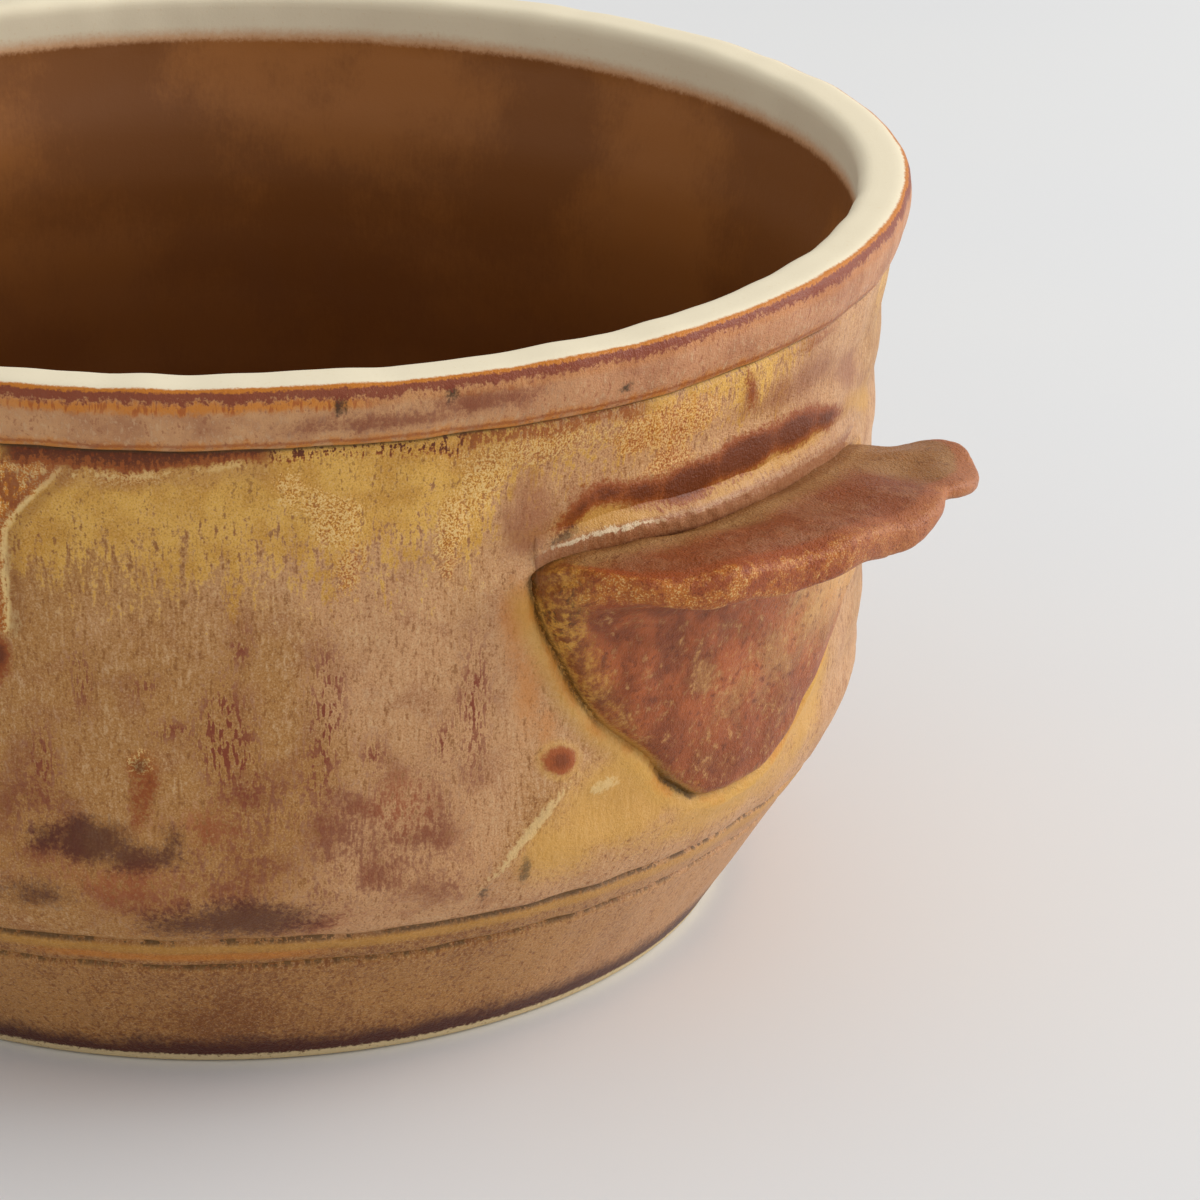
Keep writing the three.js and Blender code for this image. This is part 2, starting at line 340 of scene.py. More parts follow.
STAINS: dict[Stain, tuple[Mark, ...]] = {
    Stain.CRYSTAL: (
        Mark(-38.4, 58.3, 2.2, 2.2), Mark(-42.0, 61.0, 0.9, 1.4), Mark(-39.9, 60.0, 1.4, 1.1),
        Mark(-26.6, 60.4, 1.8, 3.6, 22), Mark(-29.2, 57.0, 1.5, 2.6, 15), Mark(-20.6, 63.2, 7.6, 1.4),
        Mark(-56.0, 63.2, 5.0, 0.7), Mark(62.0, 58.0, 2.6, 2.6), Mark(83.0, 60.5, 2.0, 3.2),
        Mark(47.0, 62.0, 5.0, 1.4), Mark(-54.2, 36.1, 0.85, 0.85, once=True)),
    Stain.GOLD: (
        Mark(-37.2, 54.2, 0.9, 2.4), Mark(-29.3, 53.4, 0.8, 2.2), Mark(-9.5, 62.2, 6.0, 2.2),
        Mark(-8.5, 58.2, 3.2, 1.1), Mark(-66.5, 60.5, 2.6, 4.5), Mark(70.0, 61.5, 6.0, 2.2)),
    Stain.DASHES: (
        Mark(-58.7, 43.8, 0.9, 2.5), Mark(-53.7, 43.3, 1.2, 0.8), Mark(-46.0, 47.0, 0.8, 1.5),
        Mark(-47.6, 38.5, 2.2, 5.2), Mark(-45.8, 36.6, 1.2, 3.8), Mark(-39.2, 40.2, 1.5, 5.8),
        Mark(-39.9, 35.0, 1.2, 3.2), Mark(-27.0, 39.5, 1.3, 5.4), Mark(-29.4, 36.4, 1.2, 1.7),
        Mark(-35.5, 36.0, 0.9, 1.3), Mark(-51.6, 39.2, 1.6, 0.9), Mark(-62.0, 36.0, 1.0, 2.5),
        Mark(58.0, 40.0, 2.0, 5.5), Mark(72.0, 43.5, 1.6, 6.0), Mark(81.0, 36.0, 2.2, 4.6),
        Mark(-78.0, 38.0, 2.0, 5.0)),
    Stain.CLOUD: (
        Mark(-36.0, 27.0, 5.5, 6.0), Mark(-31.0, 28.0, 2.8, 5.5), Mark(-39.5, 23.0, 4.5, 2.8),
        Mark(-27.5, 22.5, 3.2, 1.8), Mark(-47.0, 25.5, 5.0, 4.0), Mark(-44.0, 31.5, 4.0, 3.4),
        Mark(-53.0, 22.0, 4.5, 2.2), Mark(-63.0, 30.0, 3.0, 5.0), Mark(40.0, 30.0, 5.5, 6.5),
        Mark(76.0, 29.0, 6.0, 5.0)),
    Stain.PURPLE: (
        Mark(-58.4, 28.2, 3.2, 2.1, once=True), Mark(-55.8, 27.0, 2.9, 1.3, once=True),
        Mark(-53.0, 26.9, 2.1, 1.0, once=True), Mark(-51.8, 28.2, 1.0, 1.6, once=True),
        Mark(-46.0, 20.2, 6.4, 2.0), Mark(-51.0, 19.8, 3.4, 1.4), Mark(-63.2, 22.4, 2.8, 1.2),
        Mark(-62.4, 28.4, 1.4, 1.1), Mark(66.0, 27.0, 5.5, 2.6), Mark(-75.0, 24.0, 4.5, 2.2),
        Mark(60.0, 19.6, 6.0, 1.3), Mark(-34.0, 67.7, 6.0, 0.7), Mark(-27.5, 68.7, 5.0, 0.9),
        Mark(63.0, 68.0, 6.0, 0.8)),
    Stain.RED: (
        Mark(-56.6, 24.8, 4.8, 2.0, once=True), Mark(-40.5, 19.4, 3.6, 1.0),
        Mark(-33.0, 31.0, 2.0, 2.0), Mark(-50.0, 30.0, 3.0, 2.0), Mark(52.0, 24.0, 4.0, 2.0)),
    Stain.YELLOW: (
        Mark(-13.0, 26.8, 7.0, 4.8), Mark(-18.6, 23.6, 4.6, 3.2), Mark(2.0, 22.0, 12.0, 2.0),
        Mark(14.0, 26.5, 3.0, 5.0, 35)),
    Stain.ORANGE: (
        Mark(-22.2, 40.0, 1.1, 4.0), Mark(-23.4, 47.2, 1.2, 3.6), Mark(-67.0, 52.0, 2.4, 6.5),
        Mark(-20.5, 35.8, 0.9, 1.6)),
    Stain.RUST: (
        Mark(-17.9, 56.2, 2.8, 0.95, -39), Mark(-15.0, 57.1, 3.0, 1.1, 8),
        Mark(-11.6, 56.3, 3.8, 1.4, 12), Mark(-6.5, 56.0, 5.6, 2.0, -4), Mark(0.5, 56.5, 6.6, 2.1, -2),
        Mark(7.5, 56.4, 5.6, 1.8, 4), Mark(13.5, 55.5, 4.6, 1.2, 12), Mark(0.1, 62.9, 0.7, 2.6, -24),
        Mark(-65.4, 45.5, 1.3, 2.3), Mark(-66.6, 49.0, 1.3, 3.0),
        Mark(-54.2, 35.8, 1.3, 1.35, once=True), Mark(-54.6, 33.0, 0.65, 3.0, once=True),
        Mark(-53.4, 34.1, 0.6, 2.0, once=True)),
    Stain.PLUM: (
        Mark(9.0, 61.0, 6.8, 1.5), Mark(17.5, 58.8, 5.4, 1.6, 25), Mark(-22.5, 56.0, 2.6, 4.0)),
    Stain.OCHRE: (
        Mark(0.0, 54.6, 24.0, 0.9), Mark(-16.5, 55.2, 4.0, 1.1), Mark(24.0, 53.5, 6.0, 1.2, 20)),
    Stain.PALE: (
        Mark(-62.3, 61.0, 0.45, 3.9, 32), Mark(-64.3, 54.0, 0.45, 4.5, 3),
        Mark(-63.9, 49.0, 0.4, 1.5, -20), Mark(-22.3, 25.4, 0.5, 6.0, 44),
        # painted highlight: this last pale mark, on the yellow glaze below the lug
        Mark(-14.6, 28.8, 1.6, 0.6, once=True)),
    Stain.DOT: (
        Mark(-19.1, 32.5, 1.9, 1.4, 30, once=True),),
    Stain.BLACK: (
        Mark(-38.3, 69.6, 0.5, 0.9, once=True), Mark(-29.8, 69.6, 0.5, 0.8, once=True),
        Mark(-15.0, 67.4, 0.6, 0.45, once=True), Mark(-19.5, 53.9, 1.5, 0.4, -22),
        Mark(-22.0, 22.2, 0.55, 1.3, once=True), Mark(-25.6, 20.6, 0.5, 0.7, once=True),
        Mark(-7.0, 26.6, 1.0, 2.4, -45)),
}
# How far the thick stains stand over the glaze, in millimetres
LIFTS = {Stain.PALE: 0.3, Stain.DOT: 0.35, Stain.CRYSTAL: 0.12, Stain.RUST: 0.08}
HALF_WAY = (86.0, 60.0)  # degrees from a lug over which masks fade to the other half
FAR = 8.0  # depth, below zero, of a point that is far from every mark


def paint(mesh: bpy.types.Mesh, stains: Sequence[Stain], radius: float,
          outside: Optional[np.ndarray] = None) -> None:
    """Writes each stain's distance inside its edge to the mesh, and raises the thick ones.

    Args:
        mesh: The mesh, in metres and in place.
        stains: The stains to paint.
        radius: Radius at which distances along the wall are measured.
        outside: 1 for points that may be raised and 0 for the others, or None for all points.
    """
    flat = np.empty(len(mesh.vertices) * 3, dtype=np.float32)
    mesh.vertices.foreach_get("co", flat)
    normals = np.empty_like(flat)
    mesh.vertex_normals.foreach_get("vector", normals)
    x, y, z = (flat.reshape(-1, 3) / MM).T
    angle = np.degrees(np.arctan2(y, x))
    turned = (angle + 90) % 180 - 90
    raised = np.zeros(len(x), dtype=np.float32)
    for stain in stains:
        depth = np.full(len(x), -FAR, dtype=np.float32)
        for mark in STAINS[stain]:
            lean = math.radians(mark.tilt)
            along, up = np.radians(turned - mark.angle) * radius, z - mark.height
            side = (along * math.cos(lean) - up * math.sin(lean)) / mark.half_along
            rise = (along * math.sin(lean) + up * math.cos(lean)) / mark.half_up
            inside = (1 - np.hypot(side, rise)) * min(mark.half_along, mark.half_up)
            depth = np.maximum(depth, np.where((np.abs(angle) < 90) | (not mark.once), inside, -FAR))
        mesh.attributes.new(stain.value, "FLOAT", "POINT").data.foreach_set("value", depth)
        raised += LIFTS.get(stain, 0.0) * np.clip(depth + 0.4, 0, 1)
    raised *= 1 if outside is None else outside
    flat += normals * np.repeat(raised * MM, 3)
    mesh.vertices.foreach_set("co", flat)
    mesh.update()


@dataclass(frozen=True)
class Palette:
    """The glaze colours, as the fired pot shows them."""

    ochre: str = "c8923a"
    honey: str = "dca94e"
    yellow: str = "d3a04c"
    tan: str = "b07c40"
    mauve: str = "c69364"
    blush: str = "dab488"
    plum: str = "94593a"
    rose: str = "c0845c"
    umber: str = "80491a"
    purple: str = "48150a"
    purple_brown: str = "7a331a"
    red_brown: str = "9e4a1c"
    crimson: str = "80341a"
    rust: str = "8f420c"
    dark_brown: str = "542004"
    olive: str = "4a330f"
    black_olive: str = "2b200e"
    orange: str = "c9791f"
    cream: str = "efdfba"
    pale: str = "dfbf84"
    crystal: str = "e9c583"
    gold: str = "d89a44"
    bare_clay: str = "f1e4c6"
    foot_clay: str = "d6bf92"
    inside: str = "a4672f"
    inside_dark: str = "60320c"
    ledge: str = "8c4a26"
    ledge_mauve: str = "996240"
    ledge_olive: str = "b48e58"
    tongue: str = "ac5a2a"
    tongue_dark: str = "84401a"
    tongue_light: str = "e4b06c"


COLOURS = Palette()


@dataclass(frozen=True)
class StainLook:
    """How one stain shows: its colour, how strongly, how soft its edge is and how far noise moves it."""

    stain: Stain
    colour: str
    strength: float
    soft: float = 0.35
    ragged: float = 1.0
    grain: Grain = Grain.SOFT


WALL_LOOKS: tuple[StainLook, ...] = (
    StainLook(Stain.YELLOW, COLOURS.yellow, 0.7, 1.6, 2.2),
    StainLook(Stain.OCHRE, COLOURS.ochre, 0.7, 0.5, 0.8),
    StainLook(Stain.ORANGE, COLOURS.orange, 0.5, 0.9, 1.3),
    StainLook(Stain.CLOUD, COLOURS.purple_brown, 0.75, 2.6, 2.6, Grain.MOTTLED),
    StainLook(Stain.RED, COLOURS.red_brown, 0.6, 2.2, 1.8, Grain.MOTTLED),
    StainLook(Stain.PLUM, COLOURS.plum, 0.65, 1.1, 2.4),
    StainLook(Stain.PURPLE, COLOURS.purple, 0.8, 1.0, 1.6),
    StainLook(Stain.DASHES, COLOURS.crimson, 0.95, 1.3, 1.0, Grain.DASHES),
    StainLook(Stain.GOLD, COLOURS.orange, 0.5, 0.6, 1.8),
    StainLook(Stain.GOLD, COLOURS.crystal, 0.6, 0.6, 1.8, Grain.CRYSTALS),
    StainLook(Stain.GOLD, COLOURS.rust, 0.6, 0.6, 1.8, Grain.SPOTS),
    StainLook(Stain.RUST, COLOURS.rust, 0.92, 0.4, 0.9),
    StainLook(Stain.CRYSTAL, COLOURS.gold, 0.5, 0.7, 1.8),
    StainLook(Stain.CRYSTAL, COLOURS.crystal, 0.75, 0.5, 1.8, Grain.CRYSTALS),
    StainLook(Stain.CRYSTAL, COLOURS.rust, 0.6, 0.5, 1.8, Grain.SPOTS),
    # pale glaze lines, and the painted highlight among the pale marks
    StainLook(Stain.PALE, COLOURS.pale, 0.65, 0.22, 0.5),
    StainLook(Stain.BLACK, COLOURS.black_olive, 0.65, 0.3, 0.5),
)


class Field:
    """Coordinates and noise that one glaze shares among its layers, in millimetres."""

    def __init__(self, bench: Bench) -> None:
        """Adds the coordinates and the noises."""
        self.bench = bench
        place = bench.add("ShaderNodeTexCoord", None, None, "Object")
        self.place = bench.add("ShaderNodeVectorMath", {"operation": "SCALE"}, {0: place, "Scale": 1 / MM})
        x = bench.add("ShaderNodeSeparateXYZ", None, {0: self.place})
        y, self.height = x.other(1), x.other(2)
        turn = x.math("SIGN")
        self.angle = bench.math("ARCTAN2", y * turn, x * turn) * math.degrees(1)
        self.cloud = bench.noise(self.place, 0.05, 1.0)
        self.mottle = bench.noise(self.place, 0.24, 3.0, 0.6)
        self.grain = bench.noise(self.place, 2.3, 2.0, 0.75)
        self.fine = bench.noise(self.place, 5.5, 1.0, 0.7)
        self.streak = self.upright(0.75, 0.2, 2.0)
        self.dash = self.upright(2.9, 0.22, 1.0)
        self.speck = (self.grain - 0.5) * 1.9 + (self.dash - 0.5) * 1.9
        self.rag = (self.mottle - 0.5) * 1.6 + (self.grain - 0.5) * 1.6
        self.breaks = {
            Grain.DASHES: bench.step(self.dash + (self.grain - 0.5) * 0.5, 0.49, 0.60),
            Grain.CRYSTALS: bench.step(self.fine + (self.grain - 0.5) * 0.5, 0.48, 0.60),
            Grain.SPOTS: bench.step(self.fine + (self.grain - 0.5) * 0.5, 0.44, 0.36),
            Grain.MOTTLED: bench.step(self.mottle + self.speck * 0.5, 0.28, 0.72)}

    def upright(self, scale: float, squeeze: float, detail: float) -> Value:
        """Noise drawn out up and down the wall, as a running glaze is."""
        place = self.bench.vector("MULTIPLY", self.place, (1.0, 1.0, squeeze))
        return self.bench.noise(place, scale, detail, 0.55)

    def window(self, first: float, last: float, soft: float = 1.0) -> Value:
        """Mask of a stretch of angles, on both lugs' halves."""
        return self.bench.between(self.angle, first, last, soft)

    def onward(self, first: float, last: float, ragged: float = 0.0) -> Value:
        """Mask that grows from one angle to another and fades again half-way to the other lug.

        Args:
            first: Angle where the mask starts.
            last: Angle where it is full.
            ragged: How far noise moves it, in degrees.

        Returns:
            The mask.
        """
        grown = self.bench.step(self.angle + self.rag * ragged, first, last)
        return grown * self.bench.step(self.angle, *HALF_WAY)

    def crevice(self) -> Value:
        """How strongly painted shade darkens the crevice round a lug."""
        broken = self.bench.step(self.grain, 0.38, 0.52) * 0.8
        return self.window(-24, -15, 2.0) * broken | self.window(-9, -4, 1.5) | 0.2

    def lay(self, look: StainLook, colour: Value) -> Value:
        """Lays one stain over a colour.

        Args:
            look: The stain and how it shows.
            colour: The colour under it.

        Returns:
            The colour with the stain.
        """
        edge = self.bench.attribute(look.stain.value) + self.rag * look.ragged + self.speck * 0.25
        mask = self.bench.step(edge, -look.soft, look.soft) * look.strength
        if look.grain is not Grain.SOFT:
            mask = mask * self.breaks[look.grain]
        return self.bench.mix(mask, colour, look.colour)


@dataclass(frozen=True)
class WallGlaze:
    """Running ochre and mauve glaze of the body's outside, with bare clay at the rim and foot."""

    name: str = "body_glaze"
    specular: float = 0.3

    def wall(self, field: Field) -> Value:
        """Glaze of the upright wall and the cone under it.

        Args:
            field: Coordinates and noise.

        Returns:
            The colour.
        """
        bench, height = field.bench, field.height
        run = (field.mottle - 0.5) * 10.0 + (field.streak - 0.5) * 14.0
        plain = field.window(-25.0, 25.0, 3.5) * 8.0 + field.onward(4.0, 12.0) * 8.0
        upper = bench.step(height + run - plain, 43.0, 66.0)
        phase = bench.step(upper - 0.5 + field.speck * 0.55, -0.18, 0.18)
        rosy = field.cloud + (field.onward(-72.0, -22.0) - 0.5) * 0.24
        mauve = bench.mix(bench.step(rosy + field.speck * 0.08, 0.40, 0.62), COLOURS.tan, COLOURS.mauve)
        mauve = mauve.coat(bench.step(field.mottle, 0.48, 0.66) * 0.35, COLOURS.plum)
        mauve = mauve.coat(bench.step(field.speck, 0.0, 0.7) * 0.5, COLOURS.blush)
        ochre = bench.mix(bench.step(field.mottle + field.speck * 0.1, 0.40, 0.64),
                          COLOURS.honey, COLOURS.ochre)
        colour = bench.mix(phase, mauve, ochre)
        pale = field.cloud + field.speck * 0.25 + (field.streak - 0.5) * 0.3
        cone = bench.mix(bench.step(pale, 0.32, 0.72), COLOURS.umber, COLOURS.tan)
        cone = cone.coat(field.onward(-26.0, 2.0, 3.0) * 0.8, COLOURS.mauve)
        colour = colour.coat(bench.step(height + (field.mottle - 0.5) * 3.0, 18.0, 16.0), cone)
        colour = colour.coat(bench.step(field.fine, 0.50, 0.72) * 0.36, COLOURS.blush)
        colour = colour.coat(bench.step(field.fine, 0.48, 0.28) * 0.4, COLOURS.umber)
        return colour.coat(bench.step(field.speck, -0.15, -0.6) * 0.6, COLOURS.umber)

    def stains(self, field: Field, colour: Value) -> Value:
        """Lays the stains over the wall.

        Args:
            field: Coordinates and noise.
            colour: Colour of the wall.

        Returns:
            The colour with the stains.
        """
        bench = field.bench
        for look in WALL_LOOKS:
            colour = field.lay(look, colour)
        core = bench.attribute(Stain.RUST.value) + field.rag * 0.6
        colour = colour.coat(bench.step(core, 0.25, 1.0) * 0.7, COLOURS.dark_brown)
        dot = bench.attribute(Stain.DOT.value) + field.rag * 0.5
        colour = colour.coat(bench.step(dot, -0.9, -0.1) * 0.35, COLOURS.honey)
        colour = colour.coat(bench.step(dot, -0.2, 0.35) * 0.92, COLOURS.red_brown)
        return colour.coat(bench.step(dot, 0.4, 1.0) * 0.5, COLOURS.dark_brown)

    def ridge(self, field: Field, colour: Value) -> Value:
        """Thin cream ridge with rusty glaze on its far side, a little more than 60 degrees from the lug.

        Args:
            field: Coordinates and noise.
            colour: Colour of the wall.

        Returns:
            The colour with the ridge.
        """
        bench, height = field.bench, field.height
        line = bench.step(height, 56.0, 65.5) * 5.6 - 64.5
        off = (field.angle - line) * 1.09 + field.rag * 0.55
        level = bench.between(height + field.rag, 47.6, 64.0, 0.5)
        level = level * bench.step(field.angle + field.rag * 3.5, -73.0, -67.0)
        warm = bench.mix(field.breaks[Grain.CRYSTALS], COLOURS.orange, COLOURS.crystal)
        warm = warm.coat(bench.step(field.mottle + field.speck * 0.3, 0.52, 0.66), COLOURS.rust)
        colour = colour.coat(bench.step(off, 0.1, -0.3) * level * 0.85, warm)
        colour = colour.coat(bench.between(off, -1.2, -0.3, 0.25) * level * 0.6, COLOURS.rust)
        colour = colour.coat(bench.between(off, 0.3, 1.6, 0.5) * level * 0.35, COLOURS.umber)
        beads = bench.between(off, -0.3, 0.3, 0.2) * level * bench.step(field.speck, -0.5, 0.1)
        return colour.coat(beads * 0.75, COLOURS.crystal)

    def lines(self, field: Field, colour: Value) -> Value:
        """Dark glaze pooled in the two turned lines, and the bare foot.

        Args:
            field: Coordinates and noise.
            colour: Colour of the wall.

        Returns:
            The colour with the lines, the dark band over the foot and the foot's bare edge.
        """
        bench = field.bench
        height = field.height + (field.grain - 0.5) * 0.5
        dark = field.window(-84, -60.5, 2.0) | field.window(-34.5, -8.0, 3.0) | field.window(48, 80, 4.0)
        ragged = (field.grain - 0.5) * 0.7 + (field.mottle - 0.5) * 0.4
        broken = bench.step(field.streak + ragged, 0.47, 0.54)
        first = dark * bench.step(field.speck, -0.5, 0.0) * 0.8 | broken * 0.85
        first = bench.between(height, 16.95, 17.65, 0.3) * first
        second = bench.between(height, 13.55, 14.2, 0.35) * broken
        colour = colour.coat(bench.between(height, 15.8, 16.9, 0.4) * 0.55, COLOURS.ochre)
        streak = bench.between(field.height, 14.9, 15.8, 0.3) * field.window(-64, -40, 4.0)
        colour = colour.coat(streak * 0.6, COLOURS.orange)
        colour = colour.coat(first * 0.9, COLOURS.olive)
        colour = colour.coat(second * 0.7, COLOURS.olive)
        wave = field.height + (field.mottle - 0.5) * 3.0 + (field.cloud - 0.5) * 2.0
        colour = colour.coat(bench.step(wave + field.speck * 0.6, 4.6, 1.8) * 0.96, COLOURS.purple)
        return colour.coat(bench.step(height, 0.85, 0.6), COLOURS.foot_clay)

    def neck(self, field: Field, colour: Value) -> Value:
        """Dark roll of glaze under the neck's crease with a painted shadow below it, and the banded glaze
        of the rim.

        Args:
            field: Coordinates and noise.
            colour: Colour of the wall.

        Returns:
            The colour with the neck and the rim's band.
        """
        bench, height = field.bench, field.height
        jag = (field.grain - 0.5) * 1.3 + (field.dash - 0.5) * 0.9 + (field.mottle - 0.5) * 2.0
        dark = field.window(-63.8, -43.5, 1.2) | field.window(50, 76, 2.0)
        rusty = field.window(-29, -12, 2.0) | field.window(6.5, 13, 2.0) * 0.8
        specks = bench.step(field.speck, 0.05, 0.3) * field.window(-44, -28, 1.0)
        low = 64.0 + bench.step(field.angle, -57.0, -42.0) * 0.8 * field.window(-70, -30, 1.0)
        deep = height + jag - low
        under = bench.step(height, 65.7, 65.4)
        # painted shadow: plum below the dark roll of glaze
        shade = bench.between(deep, -2.2, 0.3, 0.8) * (dark | rusty * 0.6)
        colour = colour.coat(shade * 0.35, COLOURS.plum)
        fringe = bench.between(deep, -1.1, -0.5, 0.25) * dark
        fringe = fringe * bench.step(field.streak + field.speck * 0.2, 0.46, 0.6)
        colour = colour.coat(fringe * 0.5, COLOURS.crystal)
        colour = colour.coat(bench.step(deep, -0.7, -0.2) * (dark | specks) * under * 0.9, COLOURS.rust)
        roll = bench.step(deep, -0.35, 0.35) * under
        colour = colour.coat(roll * rusty * bench.step(field.speck, -0.4, 0.1) * 0.85, COLOURS.rust)
        core = bench.step(deep + field.speck * 0.8, -0.1, 0.6) * under
        colour = colour.coat(core * (dark | specks) * 0.85, COLOURS.dark_brown)
        colour = colour.coat(roll * dark * bench.step(field.speck, 0.1, 0.6) * 0.7, COLOURS.rust)
        band = bench.mix(field.onward(-38.0, -8.0) * 0.8, COLOURS.mauve, COLOURS.rose)
        band = band.coat(bench.step(field.mottle + field.speck * 0.2, 0.42, 0.72) * 0.6, COLOURS.plum)
        band = band.coat(bench.step(field.speck, 0.05, 0.6) * 0.45, COLOURS.blush)
        band = band.coat(bench.step(field.speck, -0.15, -0.6) * 0.5, COLOURS.crimson)
        band = field.lay(StainLook(Stain.PURPLE, COLOURS.purple_brown, 0.75, 0.6, 1.0), band)
        brown = bench.step(field.streak + field.speck * 0.2, 0.36, 0.6)
        band = band.coat(bench.step(height + jag * 0.6, 66.9, 66.0) * brown * 0.7, COLOURS.orange)
        band = band.coat(bench.between(height + jag * 0.3, 65.9, 66.25, 0.15) * 0.6, COLOURS.rust)
        lit = bench.between(height + jag * 0.7, 69.3, 70.1, 0.35) * (field.window(-64, -36, 3.0) | 0.3)
        band = band.coat(lit * 0.85, COLOURS.orange)
        band = band.coat(lit * bench.step(field.dash, 0.52, 0.6) * 0.7, COLOURS.red_brown)
        band = field.lay(StainLook(Stain.BLACK, COLOURS.black_olive, 0.85, 0.3, 0.4), band)
        colour = colour.coat(bench.step(height, 65.35, 65.6), band)
        return colour.coat(bench.between(height, 65.2, 65.5, 0.12) * 0.75, COLOURS.olive)

    def beside_lug(self, field: Field, colour: Value, gap: Value) -> Value:
        """Orange welt round the lug, and painted shade in the crevice beside it.

        Args:
            field: Coordinates and noise.
            colour: Colour of the wall.
            gap: Distance from the lug's outline, in millimetres.

        Returns:
            The colour with the welt and the painted shade in the crevice.
        """
        bench = field.bench
        edge = gap + (field.grain - 0.5) * 1.0
        below = bench.step(field.height, 51.0, 48.0)
        colour = colour.coat(bench.step(edge, 3.0, 1.0) * below * 0.7, COLOURS.yellow)
        worn = bench.step(field.mottle, 0.40, 0.58) * 0.5
        colour = colour.coat(bench.step(edge, 1.8, 0.6) * below * worn, COLOURS.orange)
        # painted shade: olive darkening in the crevice along the lug's outline
        deep = field.crevice()
        return colour.coat(bench.step(edge, 0.65, 0.1) * deep * 0.85, COLOURS.olive)

    def rim(self, field: Field, colour: Value, along: Value, body: "BowlBody") -> Value:
        """Bare clay over the rim, and the dark glaze of the inside, darker towards the bottom.

        Args:
            field: Coordinates and noise.
            colour: Colour of the outside.
            along: Distance along the body's section.
            body: The body, for the places on its section.

        Returns:
            Colour of the whole body.
        """
        bench = field.bench
        jag = (field.grain - 0.5) * 0.7 + (field.mottle - 0.5) * 0.5
        outer, inner = body.station("rim_edge"), body.station("lip")
        edge = along + jag
        thick = field.rag * 0.7 + field.speck * 0.25
        colour = colour.coat(bench.step(edge + thick, outer - 1.2, outer - 0.7) * 0.9, COLOURS.crimson)
        colour = colour.coat(bench.step(edge, outer - 0.2, outer) * 0.9, COLOURS.orange)
        bare = bench.mix(bench.step(field.grain, 0.62, 0.72) * 0.2, COLOURS.bare_clay, COLOURS.pale)
        colour = colour.coat(bench.step(along + jag * 0.6, outer + 0.2, outer + 0.5), bare)
        patch = bench.step(field.cloud + (field.mottle - 0.5) * 0.3 + field.speck * 0.06, 0.36, 0.62)
        inside_colour = bench.mix(patch * 0.5, COLOURS.inside, COLOURS.inside_dark)
        # the inside is darker towards the bottom
        inside_colour = inside_colour.coat(bench.step(field.height, 66, 34) * 0.8, COLOURS.inside_dark)
        colour = colour.coat(bench.step(edge, inner - 1.2, inner + 0.6) * 0.7, COLOURS.orange)
        return colour.coat(bench.step(edge, inner + 0.2, inner + 0.9), inside_colour)

    def relief(self, field: Field) -> Value:
        """Fine relief of the glaze, in millimetres."""
        return (field.grain - 0.5) * 0.11 + (field.fine - 0.5) * 0.06 + (field.streak - 0.5) * 0.12

    def make(self, body: "BowlBody") -> bpy.types.Material:
        """Builds the body's material.

        Args:
            body: The body, for the places on its section.

        Returns:
            The material.
        """
        bench = GlazeBench(self.name)
        field = Field(bench)
        along = bench.attribute("along")
        colour = self.stains(field, self.wall(field))
        colour = self.beside_lug(field, colour, bench.attribute("lug_gap"))
        colour = self.neck(field, self.lines(field, self.ridge(field, colour)))
        colour = self.rim(field, colour, along, body)
        under = bench.step(along + (field.grain - 0.5), body.station("foot") + 0.4, body.station("foot"))
        clay = bench.mix(bench.step(field.grain, 0.62, 0.70) * 0.6, COLOURS.foot_clay, COLOURS.umber)
        colour = colour.coat(under, clay)
        bare = bench.between(along, body.station("rim_edge") + 0.4, body.station("lip"), 0.2) | under
        rough = 0.45 + (field.mottle - 0.5) * 0.2 + (field.fine - 0.5) * 0.15 + bare * 0.35
        calm = 1 - bench.step(along, body.station("rim_edge"), body.station("rim_edge") + 0.5) * 0.9
        return bench.finish(colour, rough, self.relief(field) * calm, self.specular)


@dataclass(frozen=True)
class SeamGlaze(WallGlaze):
    """The wall's glaze carried over the seam coil, worn pale along its crest."""

    name: str = "seam_glaze"

    def make(self, body: "BowlBody") -> bpy.types.Material:
        """Builds the coil's material.

        Args:
            body: The body that the coil lies on.

        Returns:
            The material.
        """
        bench = GlazeBench(self.name)
        field = Field(bench)
        colour = self.stains(field, self.wall(field))
        crest = bench.attribute("crest")
        low = bench.attribute("low") + field.rag * 0.06
        colour = colour.coat(bench.step(low, 0.36, 0.46) * 0.65, COLOURS.plum)
        worn = bench.step(crest + field.rag * 0.8 + field.speck * 0.3, 0.62, 1.0)
        colour = colour.coat(worn * 0.3, COLOURS.blush)
        colour = colour.coat(worn * field.window(-20.5, -11.0, 2.0) * 0.55, COLOURS.cream)
        colour = colour.coat(bench.step(low, 0.74, 0.9) * 0.6, COLOURS.dark_brown)
        rough = 0.42 + (field.mottle - 0.5) * 0.2 + (field.fine - 0.5) * 0.15
        return bench.finish(colour, rough, self.relief(field), self.specular)


